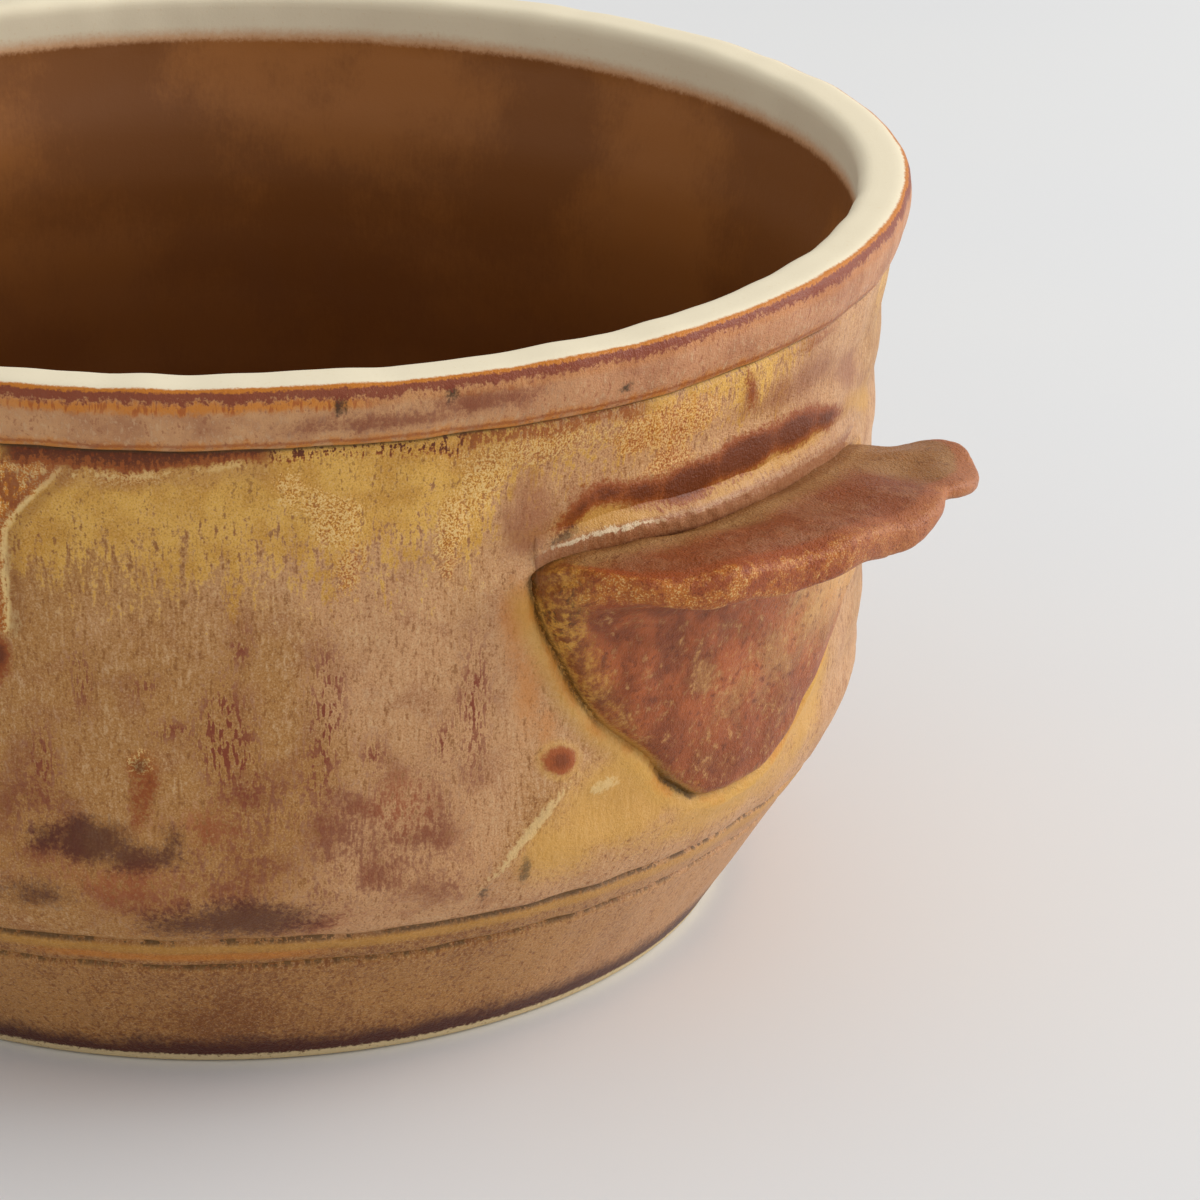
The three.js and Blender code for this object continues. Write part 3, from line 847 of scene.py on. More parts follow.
@dataclass(frozen=True)
class LugGlaze:
    """Red-brown glaze of the lugs, with gold glaze and painted glints over the ledge's edge."""

    name: str = "lug_glaze"
    specular: float = 0.3

    def grit(self, field: Field) -> Value:
        """Grain with no lie in any direction."""
        return (field.bench.noise(field.place, 0.95, 4.0, 0.72) - 0.5) * 3.4

    def ledge(self, field: Field) -> Value:
        """Glaze of the ledge: olive by the crease, red-brown on top, gold glaze with painted glints over
        the edge, and a far end partly lightened by painted light.

        Args:
            field: Coordinates and noise.

        Returns:
            The colour.
        """
        bench, grit = field.bench, self.grit(field)
        edge, back = bench.attribute("ledge_edge"), bench.attribute("wall_gap")
        colour = bench.mix(bench.step(field.mottle + grit * 0.12, 0.42, 0.64),
                           COLOURS.ledge, COLOURS.ledge_mauve)
        colour = colour.coat(bench.step(grit, 0.1, 0.8) * 0.45, COLOURS.tongue)
        olive = bench.step(back + field.rag * 1.6, 4.6, 1.6) | field.window(13.0, 24.0, 1.5) * 0.8
        colour = colour.coat(olive * 0.65, COLOURS.ledge_olive)
        colour = colour.coat(bench.step(grit, -0.2, -0.9) * 0.6, COLOURS.dark_brown)
        red = bench.step(edge + field.rag * 0.25, 0.15, 0.6) * 0.7
        colour = colour.coat(red, COLOURS.red_brown)
        far = bench.step(field.angle + field.rag * 3.0, -4.0, 8.0)
        # painted highlight, partly gold glaze: orange glints along the edge's shoulder
        glint_band = bench.step(edge + grit * 0.4 + (field.mottle - 0.5) * 1.4, 0.78, 1.25)
        colour = colour.coat(glint_band * (0.62 - far * 0.4), COLOURS.orange)
        # partly painted light: the far end's own pinkish red, lightened where the lamp falls
        colour = colour.coat(red * far * 0.5, COLOURS.rose)
        # painted highlight: pale glints within that band
        glint = bench.step(field.fine + grit * 0.1, 0.54, 0.68) * glint_band * (1 - far * 0.8)
        colour = colour.coat(glint * 0.6, COLOURS.crystal)
        return colour.coat(bench.step(field.fine + grit * 0.1, 0.42, 0.32) * 0.45, COLOURS.dark_brown)

    def tongue(self, field: Field) -> Value:
        """Glaze of the tongue: mottled red, orange and brown.

        Args:
            field: Coordinates and noise.

        Returns:
            The colour.
        """
        bench, grit = field.bench, self.grit(field)
        colour = bench.mix(bench.step(field.mottle + grit * 0.16, 0.38, 0.62),
                           COLOURS.tongue, COLOURS.tongue_dark)
        blush = bench.step(field.cloud + (field.mottle - 0.5) * 0.7 + grit * 0.12, 0.52, 0.70)
        colour = colour.coat(blush * 0.25, COLOURS.tongue_light)
        right = bench.step(field.angle + field.rag * 4.0, 0.0, 15.0) * bench.step(field.height, 31.0, 41.0)
        colour = colour.coat(right * 0.8, COLOURS.tongue_light)
        low = bench.step(field.height + field.rag * 3.0, 37.0, 29.0)
        colour = colour.coat(low * 0.5, COLOURS.tongue_dark)
        colour = colour.coat(bench.step(grit, 0.1, 0.7) * 0.4, COLOURS.tongue_light)
        return colour.coat(bench.step(grit, -0.05, -0.6) * 0.6, COLOURS.dark_brown)

    def make(self) -> bpy.types.Material:
        """Builds the lugs' material.

        Returns:
            The material.
        """
        bench = GlazeBench(self.name)
        field = Field(bench)
        gap, on_tongue = bench.attribute("wall_gap"), bench.attribute("tongue")
        colour = bench.mix(on_tongue, self.ledge(field), self.tongue(field))
        corner = bench.step(field.angle + field.rag * 2.0, -18.0, -20.5)
        patchy = bench.mix(bench.step(self.grit(field), -0.3, 0.4), COLOURS.umber, COLOURS.ochre)
        colour = colour.coat(corner * 0.65, patchy)
        shelf = bench.step(bench.attribute("tongue_side") + field.rag * 2.4, 4.2, 1.0) * on_tongue
        shelf = shelf * bench.step(field.height + field.rag * 4.0, 30.0, 40.0)
        colour = colour.coat(shelf * 0.6, patchy)
        spots = bench.step(field.speck + (field.mottle - 0.5), 0.05, 0.4) * corner
        colour = colour.coat(spots * 0.6, COLOURS.olive)
        rim = bench.step(gap + field.rag * 0.6, 1.0, 0.3) * on_tongue
        colour = colour.coat(rim * 0.6, COLOURS.yellow)
        near = gap + (field.grain - 0.5) * 0.7
        colour = colour.coat(bench.step(near, 1.9, 0.8) * (1 - on_tongue) * 0.6, COLOURS.umber)
        # painted shade: olive darkening in the crevice where the lug meets the wall
        deep = field.crevice()
        colour = colour.coat(bench.step(near, 0.75, 0.2) * deep * 0.85, COLOURS.olive)
        relief = (field.grain - 0.5) * 0.16 + (field.fine - 0.5) * 0.08
        rough = 0.42 + (field.mottle - 0.5) * 0.2 + (field.fine - 0.5) * 0.2
        return bench.finish(colour, rough, relief, self.specular)


def mesh_object(name: str, bm: bmesh.types.BMesh, material: bpy.types.Material) -> bpy.types.Object:
    """Makes a smooth-shaded object of a finished bmesh.

    Args:
        name: The object's name.
        bm: The mesh, in metres and in place. It is freed.
        material: The object's material.

    Returns:
        The object, linked to the scene.
    """
    mesh = bpy.data.meshes.new(name)
    bm.to_mesh(mesh)
    bm.free()
    mesh.shade_smooth()
    mesh.materials.append(material)
    piece = bpy.data.objects.new(name, mesh)
    bpy.context.scene.collection.objects.link(piece)
    return piece


def turned_copy(skin: bmesh.types.BMesh, side: Side) -> bmesh.types.BMesh:
    """Copy of a right-hand skin, turned to its side of the bowl."""
    bm = skin.copy()
    bmesh.ops.rotate(bm, cent=(0, 0, 0), matrix=Matrix.Rotation(side.value, 3, "Z"), verts=bm.verts)
    return bm


def dress(piece: bpy.types.Object, node: str) -> bpy.types.Object:
    """Ties a piece to the frame.

    Args:
        piece: The piece.
        node: The CAD node that it stands for.

    Returns:
        The same piece.
    """
    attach(piece, BODY)
    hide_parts(node)
    log.info("%s: %d faces, stands for %s", piece.name, len(piece.data.polygons), node)
    return piece


@dataclass
class BowlBody:
    """The thrown bowl, spun from its section and then moved where clay and glaze aren't even."""

    rim_height: float = 71.4
    rim_radius: float = 65.3
    rim_round: float = 1.5
    rim_thickness: float = 5.0
    bare_lip: float = 4.4  # depth of bare clay inside the rim
    neck_radius: float = 63.75
    neck_height: float = 64.5
    wall_radius: float = 62.4
    flare_height: float = 48.4
    belly_radius: float = 61.3
    belly_height: float = 25.0
    shoulder: Point = (59.2, 18.2)
    foot_edge: Point = (48.2, 0.9)
    line_heights: tuple[float, float] = (13.9, 17.35)
    line_depth: float = 0.55
    line_half: float = 0.75
    steps: int = 416
    crowd: float = 0.35  # share by which columns crowd together by the lugs
    crowd_angle: float = -25.0
    section: list[Point] = field(default_factory=list)
    stations: dict[str, float] = field(default_factory=dict)
    marks: dict[str, int] = field(default_factory=dict)

    def __post_init__(self) -> None:
        """Draws the section once, and keeps the outside wall's heights and radii."""
        self.draw_section()
        wall = [p for p in self.section[self.marks["line_1"]:self.marks["band"]] if p[0] > 58]
        self.wall_heights = [z for _, z in wall]
        self.wall_radii = [r for r, _ in wall]

    def run_to(self, name: str, points: Sequence[Point]) -> None:
        """Adds points to the section and notes how far along it they end."""
        self.section.extend(points)
        self.marks[name] = len(self.section) - 1
        length = sum(math.dist(a, b) for a, b in zip(self.section, self.section[1:]))
        self.stations[name] = length

    def station(self, name: str) -> float:
        """Distance along the section at a noted place."""
        return self.stations[name]

    def cone_at(self, height: float) -> Point:
        """Point of the plain lower cone at a height."""
        (low_r, low_z), (high_r, high_z) = self.foot_edge, self.shoulder
        return (low_r + (high_r - low_r) * (height - low_z) / (high_z - low_z), height)

    def turned_line(self, height: float) -> list[Point]:
        """Rounded groove across the cone.

        Args:
            height: Height of the groove's middle.

        Returns:
            Its points, from the lower edge to the upper.
        """
        points = []
        for share in (-1.0, -0.7, -0.45, -0.2, 0.0, 0.2, 0.45, 0.7, 1.0):
            radius, level = self.cone_at(height + share * self.line_half)
            points.append((radius - self.line_depth * hump(share, 0.45), level))
        return points

    def draw_section(self) -> None:
        """Draws the section from the middle of the underside round to the middle of the floor."""
        top, rim, inner = self.rim_height, self.rim_radius, self.rim_radius - self.rim_thickness
        low_line, high_line = self.line_heights
        corner = self.rim_round
        self.section = [(0.0, 1.6)]
        self.run_to("recess", bezier([(0.0, 1.6), (38.4, 1.6)], 9))
        self.run_to("ring", bezier([(38.4, 1.6), (39.4, 1.5), (40.0, 0.2), (40.9, 0.0)], 4))
        self.run_to("ring_out", bezier([(40.9, 0.0), (46.8, 0.0)], 5))
        self.run_to("foot", bezier([(46.8, 0.0), (47.7, 0.0), (48.0, 0.4), self.foot_edge], 4))
        self.run_to("cone", bezier([self.foot_edge, self.cone_at(low_line - self.line_half - 0.4)], 18))
        self.run_to("line_2", self.turned_line(low_line))
        self.run_to("ledge", bezier([self.cone_at(low_line + 1.0), self.cone_at(high_line - 1.0)], 3))
        self.run_to("line_1", self.turned_line(high_line))
        start = self.section[-1]
        belly = (self.belly_radius, self.belly_height)
        self.run_to("belly", bezier([start, (60.5, 20.4), (self.belly_radius, 22.4), belly], 10))
        self.run_to("wall", bezier([belly, (self.wall_radius, self.flare_height)], 38))
        neck = (self.neck_radius, self.neck_height)
        bend = (self.wall_radius, (self.flare_height + self.neck_height) / 2)
        self.run_to("neck", bezier([(self.wall_radius, self.flare_height), bend, neck], 28))
        crease = [(63.8, 64.85), (63.74, 65.1), (63.6, 65.3), (63.72, 65.45), (64.05, 65.58),
                  (64.35, 65.85)]
        self.run_to("crease", crease)
        self.run_to("band", bezier([crease[-1], (64.9, 66.7), (rim, 68.2), (rim, top - corner)], 10))
        shoulder = (rim - 0.3, top - 0.35)
        self.run_to("rim_edge", bezier([(rim, top - corner), (rim, top - 0.75), shoulder], 4))
        self.run_to("rim_top", bezier([shoulder, (rim - 0.65, top), (rim - corner - 0.2, top)], 4))
        self.run_to("rim_flat", bezier([(rim - corner - 0.2, top), (inner + corner, top)], 3))
        self.run_to("rim_in", bezier([(inner + corner, top), (inner, top), (inner, top - corner)], 6))
        self.run_to("lip", bezier([(inner, top - corner), (inner - 0.1, top - self.bare_lip)], 4))
        lip = self.section[-1]
        wall_in = (57.1, self.flare_height)
        self.run_to("inside", bezier([lip, (inner - 0.2, 63.0), (57.1, 57.5), wall_in], 12))
        self.run_to("inside_low", bezier([wall_in, (56.0, 25.0)], 10))
        self.run_to("floor", bezier([(56.0, 25.0), (56.0, 16.3), (41.0, 7.6), (26.0, 7.6)], 14))
        self.run_to("middle", bezier([(26.0, 7.6), (0.0, 7.6)], 6))

    def radius_at(self, height: float) -> float:
        """Outside radius of the wall between the shoulder and the rim."""
        index = min(max(bisect_right(self.wall_heights, height), 1), len(self.wall_heights) - 1)
        low, high = self.wall_heights[index - 1], self.wall_heights[index]
        share = min(1.0, max(0.0, (height - low) / (high - low)))
        return self.wall_radii[index - 1] + (self.wall_radii[index] - self.wall_radii[index - 1]) * share

    def relief(self, angle: float, height: float, along: float, gap: float) -> float:
        """How far the surface stands off the plain section.

        Args:
            angle: Angle about the axis, in degrees.
            height: Height in millimetres.
            along: Distance along the section.
            gap: Distance from the nearest lug's outline.

        Returns:
            The distance along the surface's normal, in millimetres.
        """
        turn = math.radians(angle)
        ring = Vector((math.cos(turn), math.sin(turn), 0)) * 1.6
        if along > self.station("lip"):
            return 0.05 * math.sin(height * 0.9 + 2 * noise.noise(ring))
        if along < self.station("foot"):
            return 0.0
        calm = ease(19, 24, height) * ease(64.5, 60, height)
        waves = 0.12 * math.sin(height * 0.95 + 3 * noise.noise(ring)) * calm
        place = ring * 9 + Vector((0, 0, height * 0.16))
        waves += 0.22 * noise.noise(place) * ease(2, 6, height)
        near = ease(-10, -25, angle if angle > -90 else angle + 180)
        welt = (0.35 + 0.5 * near) * hump(gap - 1.05, 0.75) * ease(53, 49, height) if gap > -1 else 0.0
        crevice = -0.35 * hump(gap - 0.1, 0.35)
        return waves + welt + crevice

    def build(self, finish: WallGlaze, lug: "Lug") -> bpy.types.Object:
        """Spins the section and moves its points.

        Args:
            finish: The body's glaze.
            lug: The lug, for its outline on the wall.

        Returns:
            The body's object.
        """
        bm = bmesh.new()
        along_layer = bm.verts.layers.float.new("along")
        gap_layer = bm.verts.layers.float.new("lug_gap")
        chain, length = [], 0.0
        for index, (radius, height) in enumerate(self.section):
            if index:
                length += math.dist(self.section[index - 1], (radius, height))
            vert = bm.verts.new((radius * MM, 0, height * MM))
            vert[along_layer] = length
            chain.append(vert)
        edges = [bm.edges.new(pair) for pair in zip(chain, chain[1:])]
        bmesh.ops.spin(bm, geom=chain + edges, cent=(0, 0, 0), axis=(0, 0, 1), angle=math.pi / 4,
                       steps=self.steps // 8)
        for turn in (math.pi / 4, math.pi / 2, math.pi):
            copy = bmesh.ops.duplicate(bm, geom=[*bm.verts, *bm.edges, *bm.faces])["geom"]
            bmesh.ops.rotate(bm, cent=(0, 0, 0), matrix=Matrix.Rotation(turn, 3, "Z"),
                             verts=[v for v in copy if isinstance(v, bmesh.types.BMVert)])
        bmesh.ops.remove_doubles(bm, verts=bm.verts, dist=0.002 * MM)
        bmesh.ops.recalc_face_normals(bm, faces=bm.faces)
        bm.normal_update()
        for vert in bm.verts:
            angle = math.degrees(math.atan2(vert.co.y, vert.co.x))
            shift = -self.crowd / 2 * math.sin(2 * math.radians(angle - self.crowd_angle))
            spin = Matrix.Rotation(shift, 3, "Z")
            vert.co, vert.normal, angle = spin @ vert.co, spin @ vert.normal, angle + math.degrees(shift)
            angle = (angle + 180) % 360 - 180
            height = vert.co.z / MM
            outside = self.station("line_1") < vert[along_layer] < self.station("neck")
            gap = lug.gap_at(angle, height) if outside else 15.0
            vert[gap_layer] = gap
            lift = self.relief(angle, height, vert[along_layer], gap)
            turn = math.radians(angle)
            ring = Vector((math.cos(turn), math.sin(turn), 0.3))
            sway = noise.noise(ring * 1.1) * 0.35 * ease(20, 70, height)
            rise = noise.noise(ring * 1.3 + Vector((5, 0, 0))) * 0.3 * ease(55, 71, height)
            out = Vector((math.cos(turn), math.sin(turn), 0)) if vert.co.xy.length > MM else Vector()
            vert.co += vert.normal * (lift * MM) + out * (sway * MM) + Vector((0, 0, rise * MM))
        piece = mesh_object("bowl_body_glazed", bm, finish.make(self))
        along = np.empty(len(piece.data.vertices), dtype=np.float32)
        piece.data.attributes["along"].data.foreach_get("value", along)
        outside = (along > self.station("cone")) & (along < self.station("band"))
        paint(piece.data, tuple(Stain), self.wall_radius, outside)
        return dress(piece, "bowl_body")


@dataclass
class Lug:
    """A slab folded outward into a ledge, with its tongue pressed on to the wall."""

    body: BowlBody
    ledge_drop: float = 18.6
    ledge_thickness: float = 3.6
    ledge_slope: float = 7.0
    edge_round: float = 1.6
    pillow: float = 0.6  # how far the ledge's top falls towards its edge
    pillow_width: float = 3.0
    web: float = 5.0
    sunk: float = 1.6  # how far the lug's back lies inside the wall
    tongue_thickness: float = 3.0
    tip_thickness: float = 1.1
    voxel: float = 0.38
    smoothings: int = 7
    ledge_edge: tuple[Point, ...] = (
        (-24.4, 0.2), (-22.2, 2.4), (-20.0, 5.4), (-17.2, 8.4), (-14.1, 10.2), (-10.2, 11.3), (-4.9, 11.4),
        (-2.0, 12.1), (0.3, 12.5), (4.8, 12.6), (7.0, 13.7), (9.2, 14.2), (11.6, 13.9), (13.4, 13.2),
        (15.2, 14.1), (17.3, 14.3), (19.8, 13.2), (22.2, 11.0), (23.3, 8.6))
    far_end: tuple[Point, ...] = ((23.6, 6.2), (23.4, 3.4), (23.0, 0.5))
    left_edge: tuple[Point, ...] = (  # height, angle
        (23.7, 0.0), (24.8, -4.8), (27.4, -8.0), (30.8, -10.6), (33.2, -13.0), (35.4, -15.6), (38.7, -17.8),
        (42.5, -19.6), (46.0, -21.2), (50.3, -22.4), (53.0, -22.4))
    right_edge: tuple[Point, ...] = (
        (23.7, 0.0), (24.0, 4.2), (25.7, 8.2), (28.6, 12.0), (31.5, 15.3), (35.0, 18.2), (39.0, 20.2),
        (44.0, 21.4), (50.0, 21.6), (53.0, 21.4))
    crease: tuple[Point, ...] = (  # angle, height
        (-22.4, 50.3), (-21.0, 51.0), (-19.8, 51.4), (-18.4, 51.7), (-16.8, 51.9), (-13.9, 52.0),
        (-10.0, 51.8),
        (-5.5, 51.5), (0.0, 51.4), (9.0, 50.9), (20.2, 50.1), (21.6, 49.7))

    def __post_init__(self) -> None:
        """Joins the edges into one outline on the wall, in millimetres along it and up."""
        left = [(a, z) for z, a in reversed(self.left_edge[:-1])]
        right = [(a, z) for z, a in self.right_edge[1:-2]]
        loop = left + right + list(reversed(self.crease))[:-1]
        self.outline = [Vector((self.span(a), z)) for a, z in loop]

    def span(self, angle: float) -> float:
        """Distance along the wall for an angle in degrees."""
        return math.radians(angle) * self.body.wall_radius

    def gap_at(self, angle: float, height: float) -> float:
        """Distance on the wall from the nearer lug's outline, less than 0 under the lug.

        Args:
            angle: Angle about the axis, in degrees.
            height: Height in millimetres.

        Returns:
            The distance in millimetres, 15 at most.
        """
        turned = (angle + 90) % 180 - 90
        if abs(turned) > 35 or not 18 < height < 62:
            return 15.0
        place = Vector((self.span(turned), height))
        best, inside = 15.0, False
        for a, b in zip(self.outline, self.outline[1:] + self.outline[:1]):
            run = b - a
            share = min(1.0, max(0.0, (place - a).dot(run) / run.length_squared))
            best = min(best, (a + run * share - place).length)
            if (a.y > height) != (b.y > height):
                inside ^= place.x < a.x + run.x * (height - a.y) / run.y
        return -best if inside else best

    def place(self, along: float, out: float, height: float) -> Vector:
        """Point at a distance along the wall and out from it, in metres."""
        turn = along / self.body.wall_radius
        radius = self.body.wall_radius + out
        return Vector((radius * math.cos(turn), radius * math.sin(turn), height)) * MM

    def add_ledge(self, bm: bmesh.types.BMesh) -> None:
        """Adds the ledge: a plate with a wavy edge, rounded and tipped outward."""
        top = self.body.rim_height - self.ledge_drop
        front = smooth_through(self.ledge_edge + self.far_end, 3)
        back = [(along, -self.sunk - 3) for along in (18.0, 9.0, 0.0, -9.0, -18.0)]
        ring = [bm.verts.new(self.place(along, out, top)) for along, out in front + back]
        plate = bm.faces.new(ring)
        low = bmesh.ops.extrude_face_region(bm, geom=[plate], use_keep_orig=True)["geom"]
        low_verts = [v for v in low if isinstance(v, bmesh.types.BMVert)]
        bmesh.ops.translate(bm, vec=(0, 0, -self.ledge_thickness * MM), verts=low_verts)
        both = ring + low_verts
        rims = [e for e in bm.edges if all(v in both for v in e.verts)
                and abs(e.verts[0].co.z - e.verts[1].co.z) < 1e-7]
        bmesh.ops.bevel(bm, geom=rims, offset=self.edge_round * MM, offset_type="OFFSET", segments=4,
                        profile=0.5, affect="EDGES", material=-1, clamp_overlap=True)
        crown = max(bm.faces, key=lambda f: (f.calc_center_median().z, f.calc_area()))
        bmesh.ops.inset_region(bm, faces=[crown], thickness=self.pillow_width * MM)
        bmesh.ops.translate(bm, vec=(0, 0, self.pillow * MM), verts=crown.verts)
        tip = Matrix.Rotation(math.radians(self.ledge_slope), 3, "Y")
        hinge = Vector((self.body.wall_radius, 0, top)) * MM
        for vert in bm.verts:
            turn = math.atan2(vert.co.y, vert.co.x)
            out = vert.co.xy.length / MM - self.body.wall_radius
            arch = value_at(self.crease, math.degrees(turn)) - top
            along = turn * self.body.wall_radius
            thin = ease(-11.0, -23.0, along) * 0.72 + ease(2.0, 14.0, along) * 0.52
            depth = vert.co.z / MM - top
            lift = ease(6.0, 18.0, along) * ease(1.0, 7.0, out) * 0.4
            vert.co.z = (top + depth * (1 - thin) + arch * (1 - 0.8 * ease(2.0, 12.0, out)) + lift) * MM
        bmesh.ops.rotate(bm, cent=hinge, matrix=tip, verts=bm.verts)

    def tongue_face(self, height: float, share: float) -> tuple[float, float]:
        """Where the tongue's face lies.

        Args:
            height: Height in millimetres.
            share: Place across the tongue, from -1 at its left edge to 1 at its right.

        Returns:
            Distance along the wall, and how far the face stands off it.
        """
        left, right = (self.span(value_at(e, height)) for e in (self.left_edge, self.right_edge))
        along = left + (right - left) * (share + 1) / 2
        under = self.body.rim_height - self.ledge_drop - self.ledge_thickness
        tip = self.left_edge[0][0]
        thick = self.tip_thickness + (self.tongue_thickness - self.tip_thickness) * ease(tip, under, height)
        inset = min(1 - abs(share), 1.0) * (right - left) / 2
        round_off = math.sqrt(max(0.0, 1 - (1 - min(1.0, inset / 1.8)) ** 2))
        low_off = math.sqrt(max(0.0, 1 - (1 - min(1.0, (height - tip) / 1.6)) ** 2))
        ledge_out = value_at(self.ledge_edge, along)
        reach = min(1.0, max(0.0, (self.web - (under - height)) / self.web))
        flare = min(self.web, ledge_out * 0.5) * reach ** 2
        dome = 0.75 + 0.25 * (1 - share * share)
        return along, thick * dome * min(round_off, low_off) + flare * round_off

    def add_tongue(self, bm: bmesh.types.BMesh) -> None:
        """Adds the tongue: a leaf-shaped sheet on the wall, hollowed into the ledge above it."""
        tip, top = self.left_edge[0][0], self.body.rim_height - self.ledge_drop - 1.0
        sheet = bmesh.ops.create_grid(bm, x_segments=44, y_segments=40, size=1.0)["verts"]
        for vert in sheet:
            share = vert.co.x
            height = tip + (top - tip) * ((vert.co.y + 1) / 2) ** 1.15
            along, stand = self.tongue_face(height, share)
            height = min(height, value_at(self.crease, math.degrees(along / self.body.wall_radius)) - 1.0)
            base = self.body.radius_at(height) - self.body.wall_radius
            vert.co = self.place(along, base + stand, height)
        faces = list({f for v in sheet for f in v.link_faces})
        back = bmesh.ops.extrude_face_region(bm, geom=faces, use_keep_orig=True)["geom"]
        for vert in (v for v in back if isinstance(v, bmesh.types.BMVert)):
            height = vert.co.z / MM
            radius = (self.body.radius_at(height) - self.sunk) * MM
            flat = Vector((vert.co.x, vert.co.y, 0)).normalized() * radius
            vert.co = Vector((flat.x, flat.y, vert.co.z))

    def skin(self) -> bmesh.types.BMesh:
        """Joins ledge and tongue into one skin and smooths the clay.

        Returns:
            The lug's mesh, in place on the right side.
        """
        joined = bpy.data.meshes.new("lug_blank")
        for add in (self.add_ledge, self.add_tongue):
            bm = bmesh.new()
            bm.from_mesh(joined)
            blank = bmesh.new()
            add(blank)
            bmesh.ops.remove_doubles(blank, verts=blank.verts, dist=0.01 * MM)
            bmesh.ops.recalc_face_normals(blank, faces=blank.faces)
            part = bpy.data.meshes.new("lug_part")
            blank.to_mesh(part)
            blank.free()
            bm.from_mesh(part)
            bm.to_mesh(joined)
            bm.free()
        blank_object = bpy.data.objects.new("lug_blank", joined)
        bpy.context.scene.collection.objects.link(blank_object)
        remesh = blank_object.modifiers.new("skin", "REMESH")
        remesh.mode = "VOXEL"
        remesh.voxel_size = self.voxel * MM
        graph = bpy.context.evaluated_depsgraph_get()
        bm = bmesh.new()
        bm.from_mesh(blank_object.evaluated_get(graph).to_mesh())
        bpy.data.objects.remove(blank_object)
        for _ in range(self.smoothings):
            bmesh.ops.smooth_vert(bm, verts=bm.verts, factor=0.5, use_axis_x=True, use_axis_y=True,
                                  use_axis_z=True)
        return bm

    def shape(self, bm: bmesh.types.BMesh) -> None:
        """Presses dimples and lumps into the skin and notes what the glaze needs at each point.

        Args:
            bm: The lug's skin.
        """
        edge_layer, tongue_layer, gap_layer = (
            bm.verts.layers.float.new(n) for n in ("ledge_edge", "tongue", "wall_gap"))
        side_layer = bm.verts.layers.float.new("tongue_side")
        bm.normal_update()
        top = self.body.rim_height - self.ledge_drop
        slope = math.tan(math.radians(self.ledge_slope))
        for vert in bm.verts:
            place = vert.co / MM
            turn = math.atan2(place.y, place.x)
            along, radius = turn * self.body.wall_radius, place.xy.length
            out = radius - self.body.wall_radius
            limit = value_at(self.ledge_edge, along)
            middle = top - out * slope - self.ledge_thickness / 2
            under = middle - self.ledge_thickness / 2
            on_ledge = ease(under - 1.2, under + 0.2, place.z)
            vert[edge_layer] = ease(limit - 3.4, limit - 0.6, out) * on_ledge
            vert[tongue_layer] = 1 - on_ledge
            vert[gap_layer] = radius - self.body.radius_at(place.z)
            vert[side_layer] = along - self.span(value_at(self.left_edge, place.z))
            lump = 0.24 * noise.noise(place * 0.26)
            dimple = hump((Vector((along, out)) - Vector((15.0, 8.0))).length, 3.6)
            wave = 0.35 * math.sin(along * 0.55 + 0.8) * ease(limit - 5, limit, out) * on_ledge
            press = -0.7 * dimple * on_ledge * (1 if vert.normal.z > 0.4 else 0)
            vert.co += vert.normal * ((lump + press) * MM) + Vector((0, 0, wave * MM))

    def build(self, finish: bpy.types.Material) -> list[bpy.types.Object]:
        """Builds both lugs from one skin.

        Args:
            finish: The lugs' material.

        Returns:
            The right and the left lug.
        """
        skin = self.skin()
        self.shape(skin)
        pieces = []
        for side in Side:
            bm = turned_copy(skin, side)
            piece = mesh_object(f"{side.label}_lug_clay", bm, finish)
            pieces.append(dress(piece, f"{side.label}_lug"))
        skin.free()
        return pieces


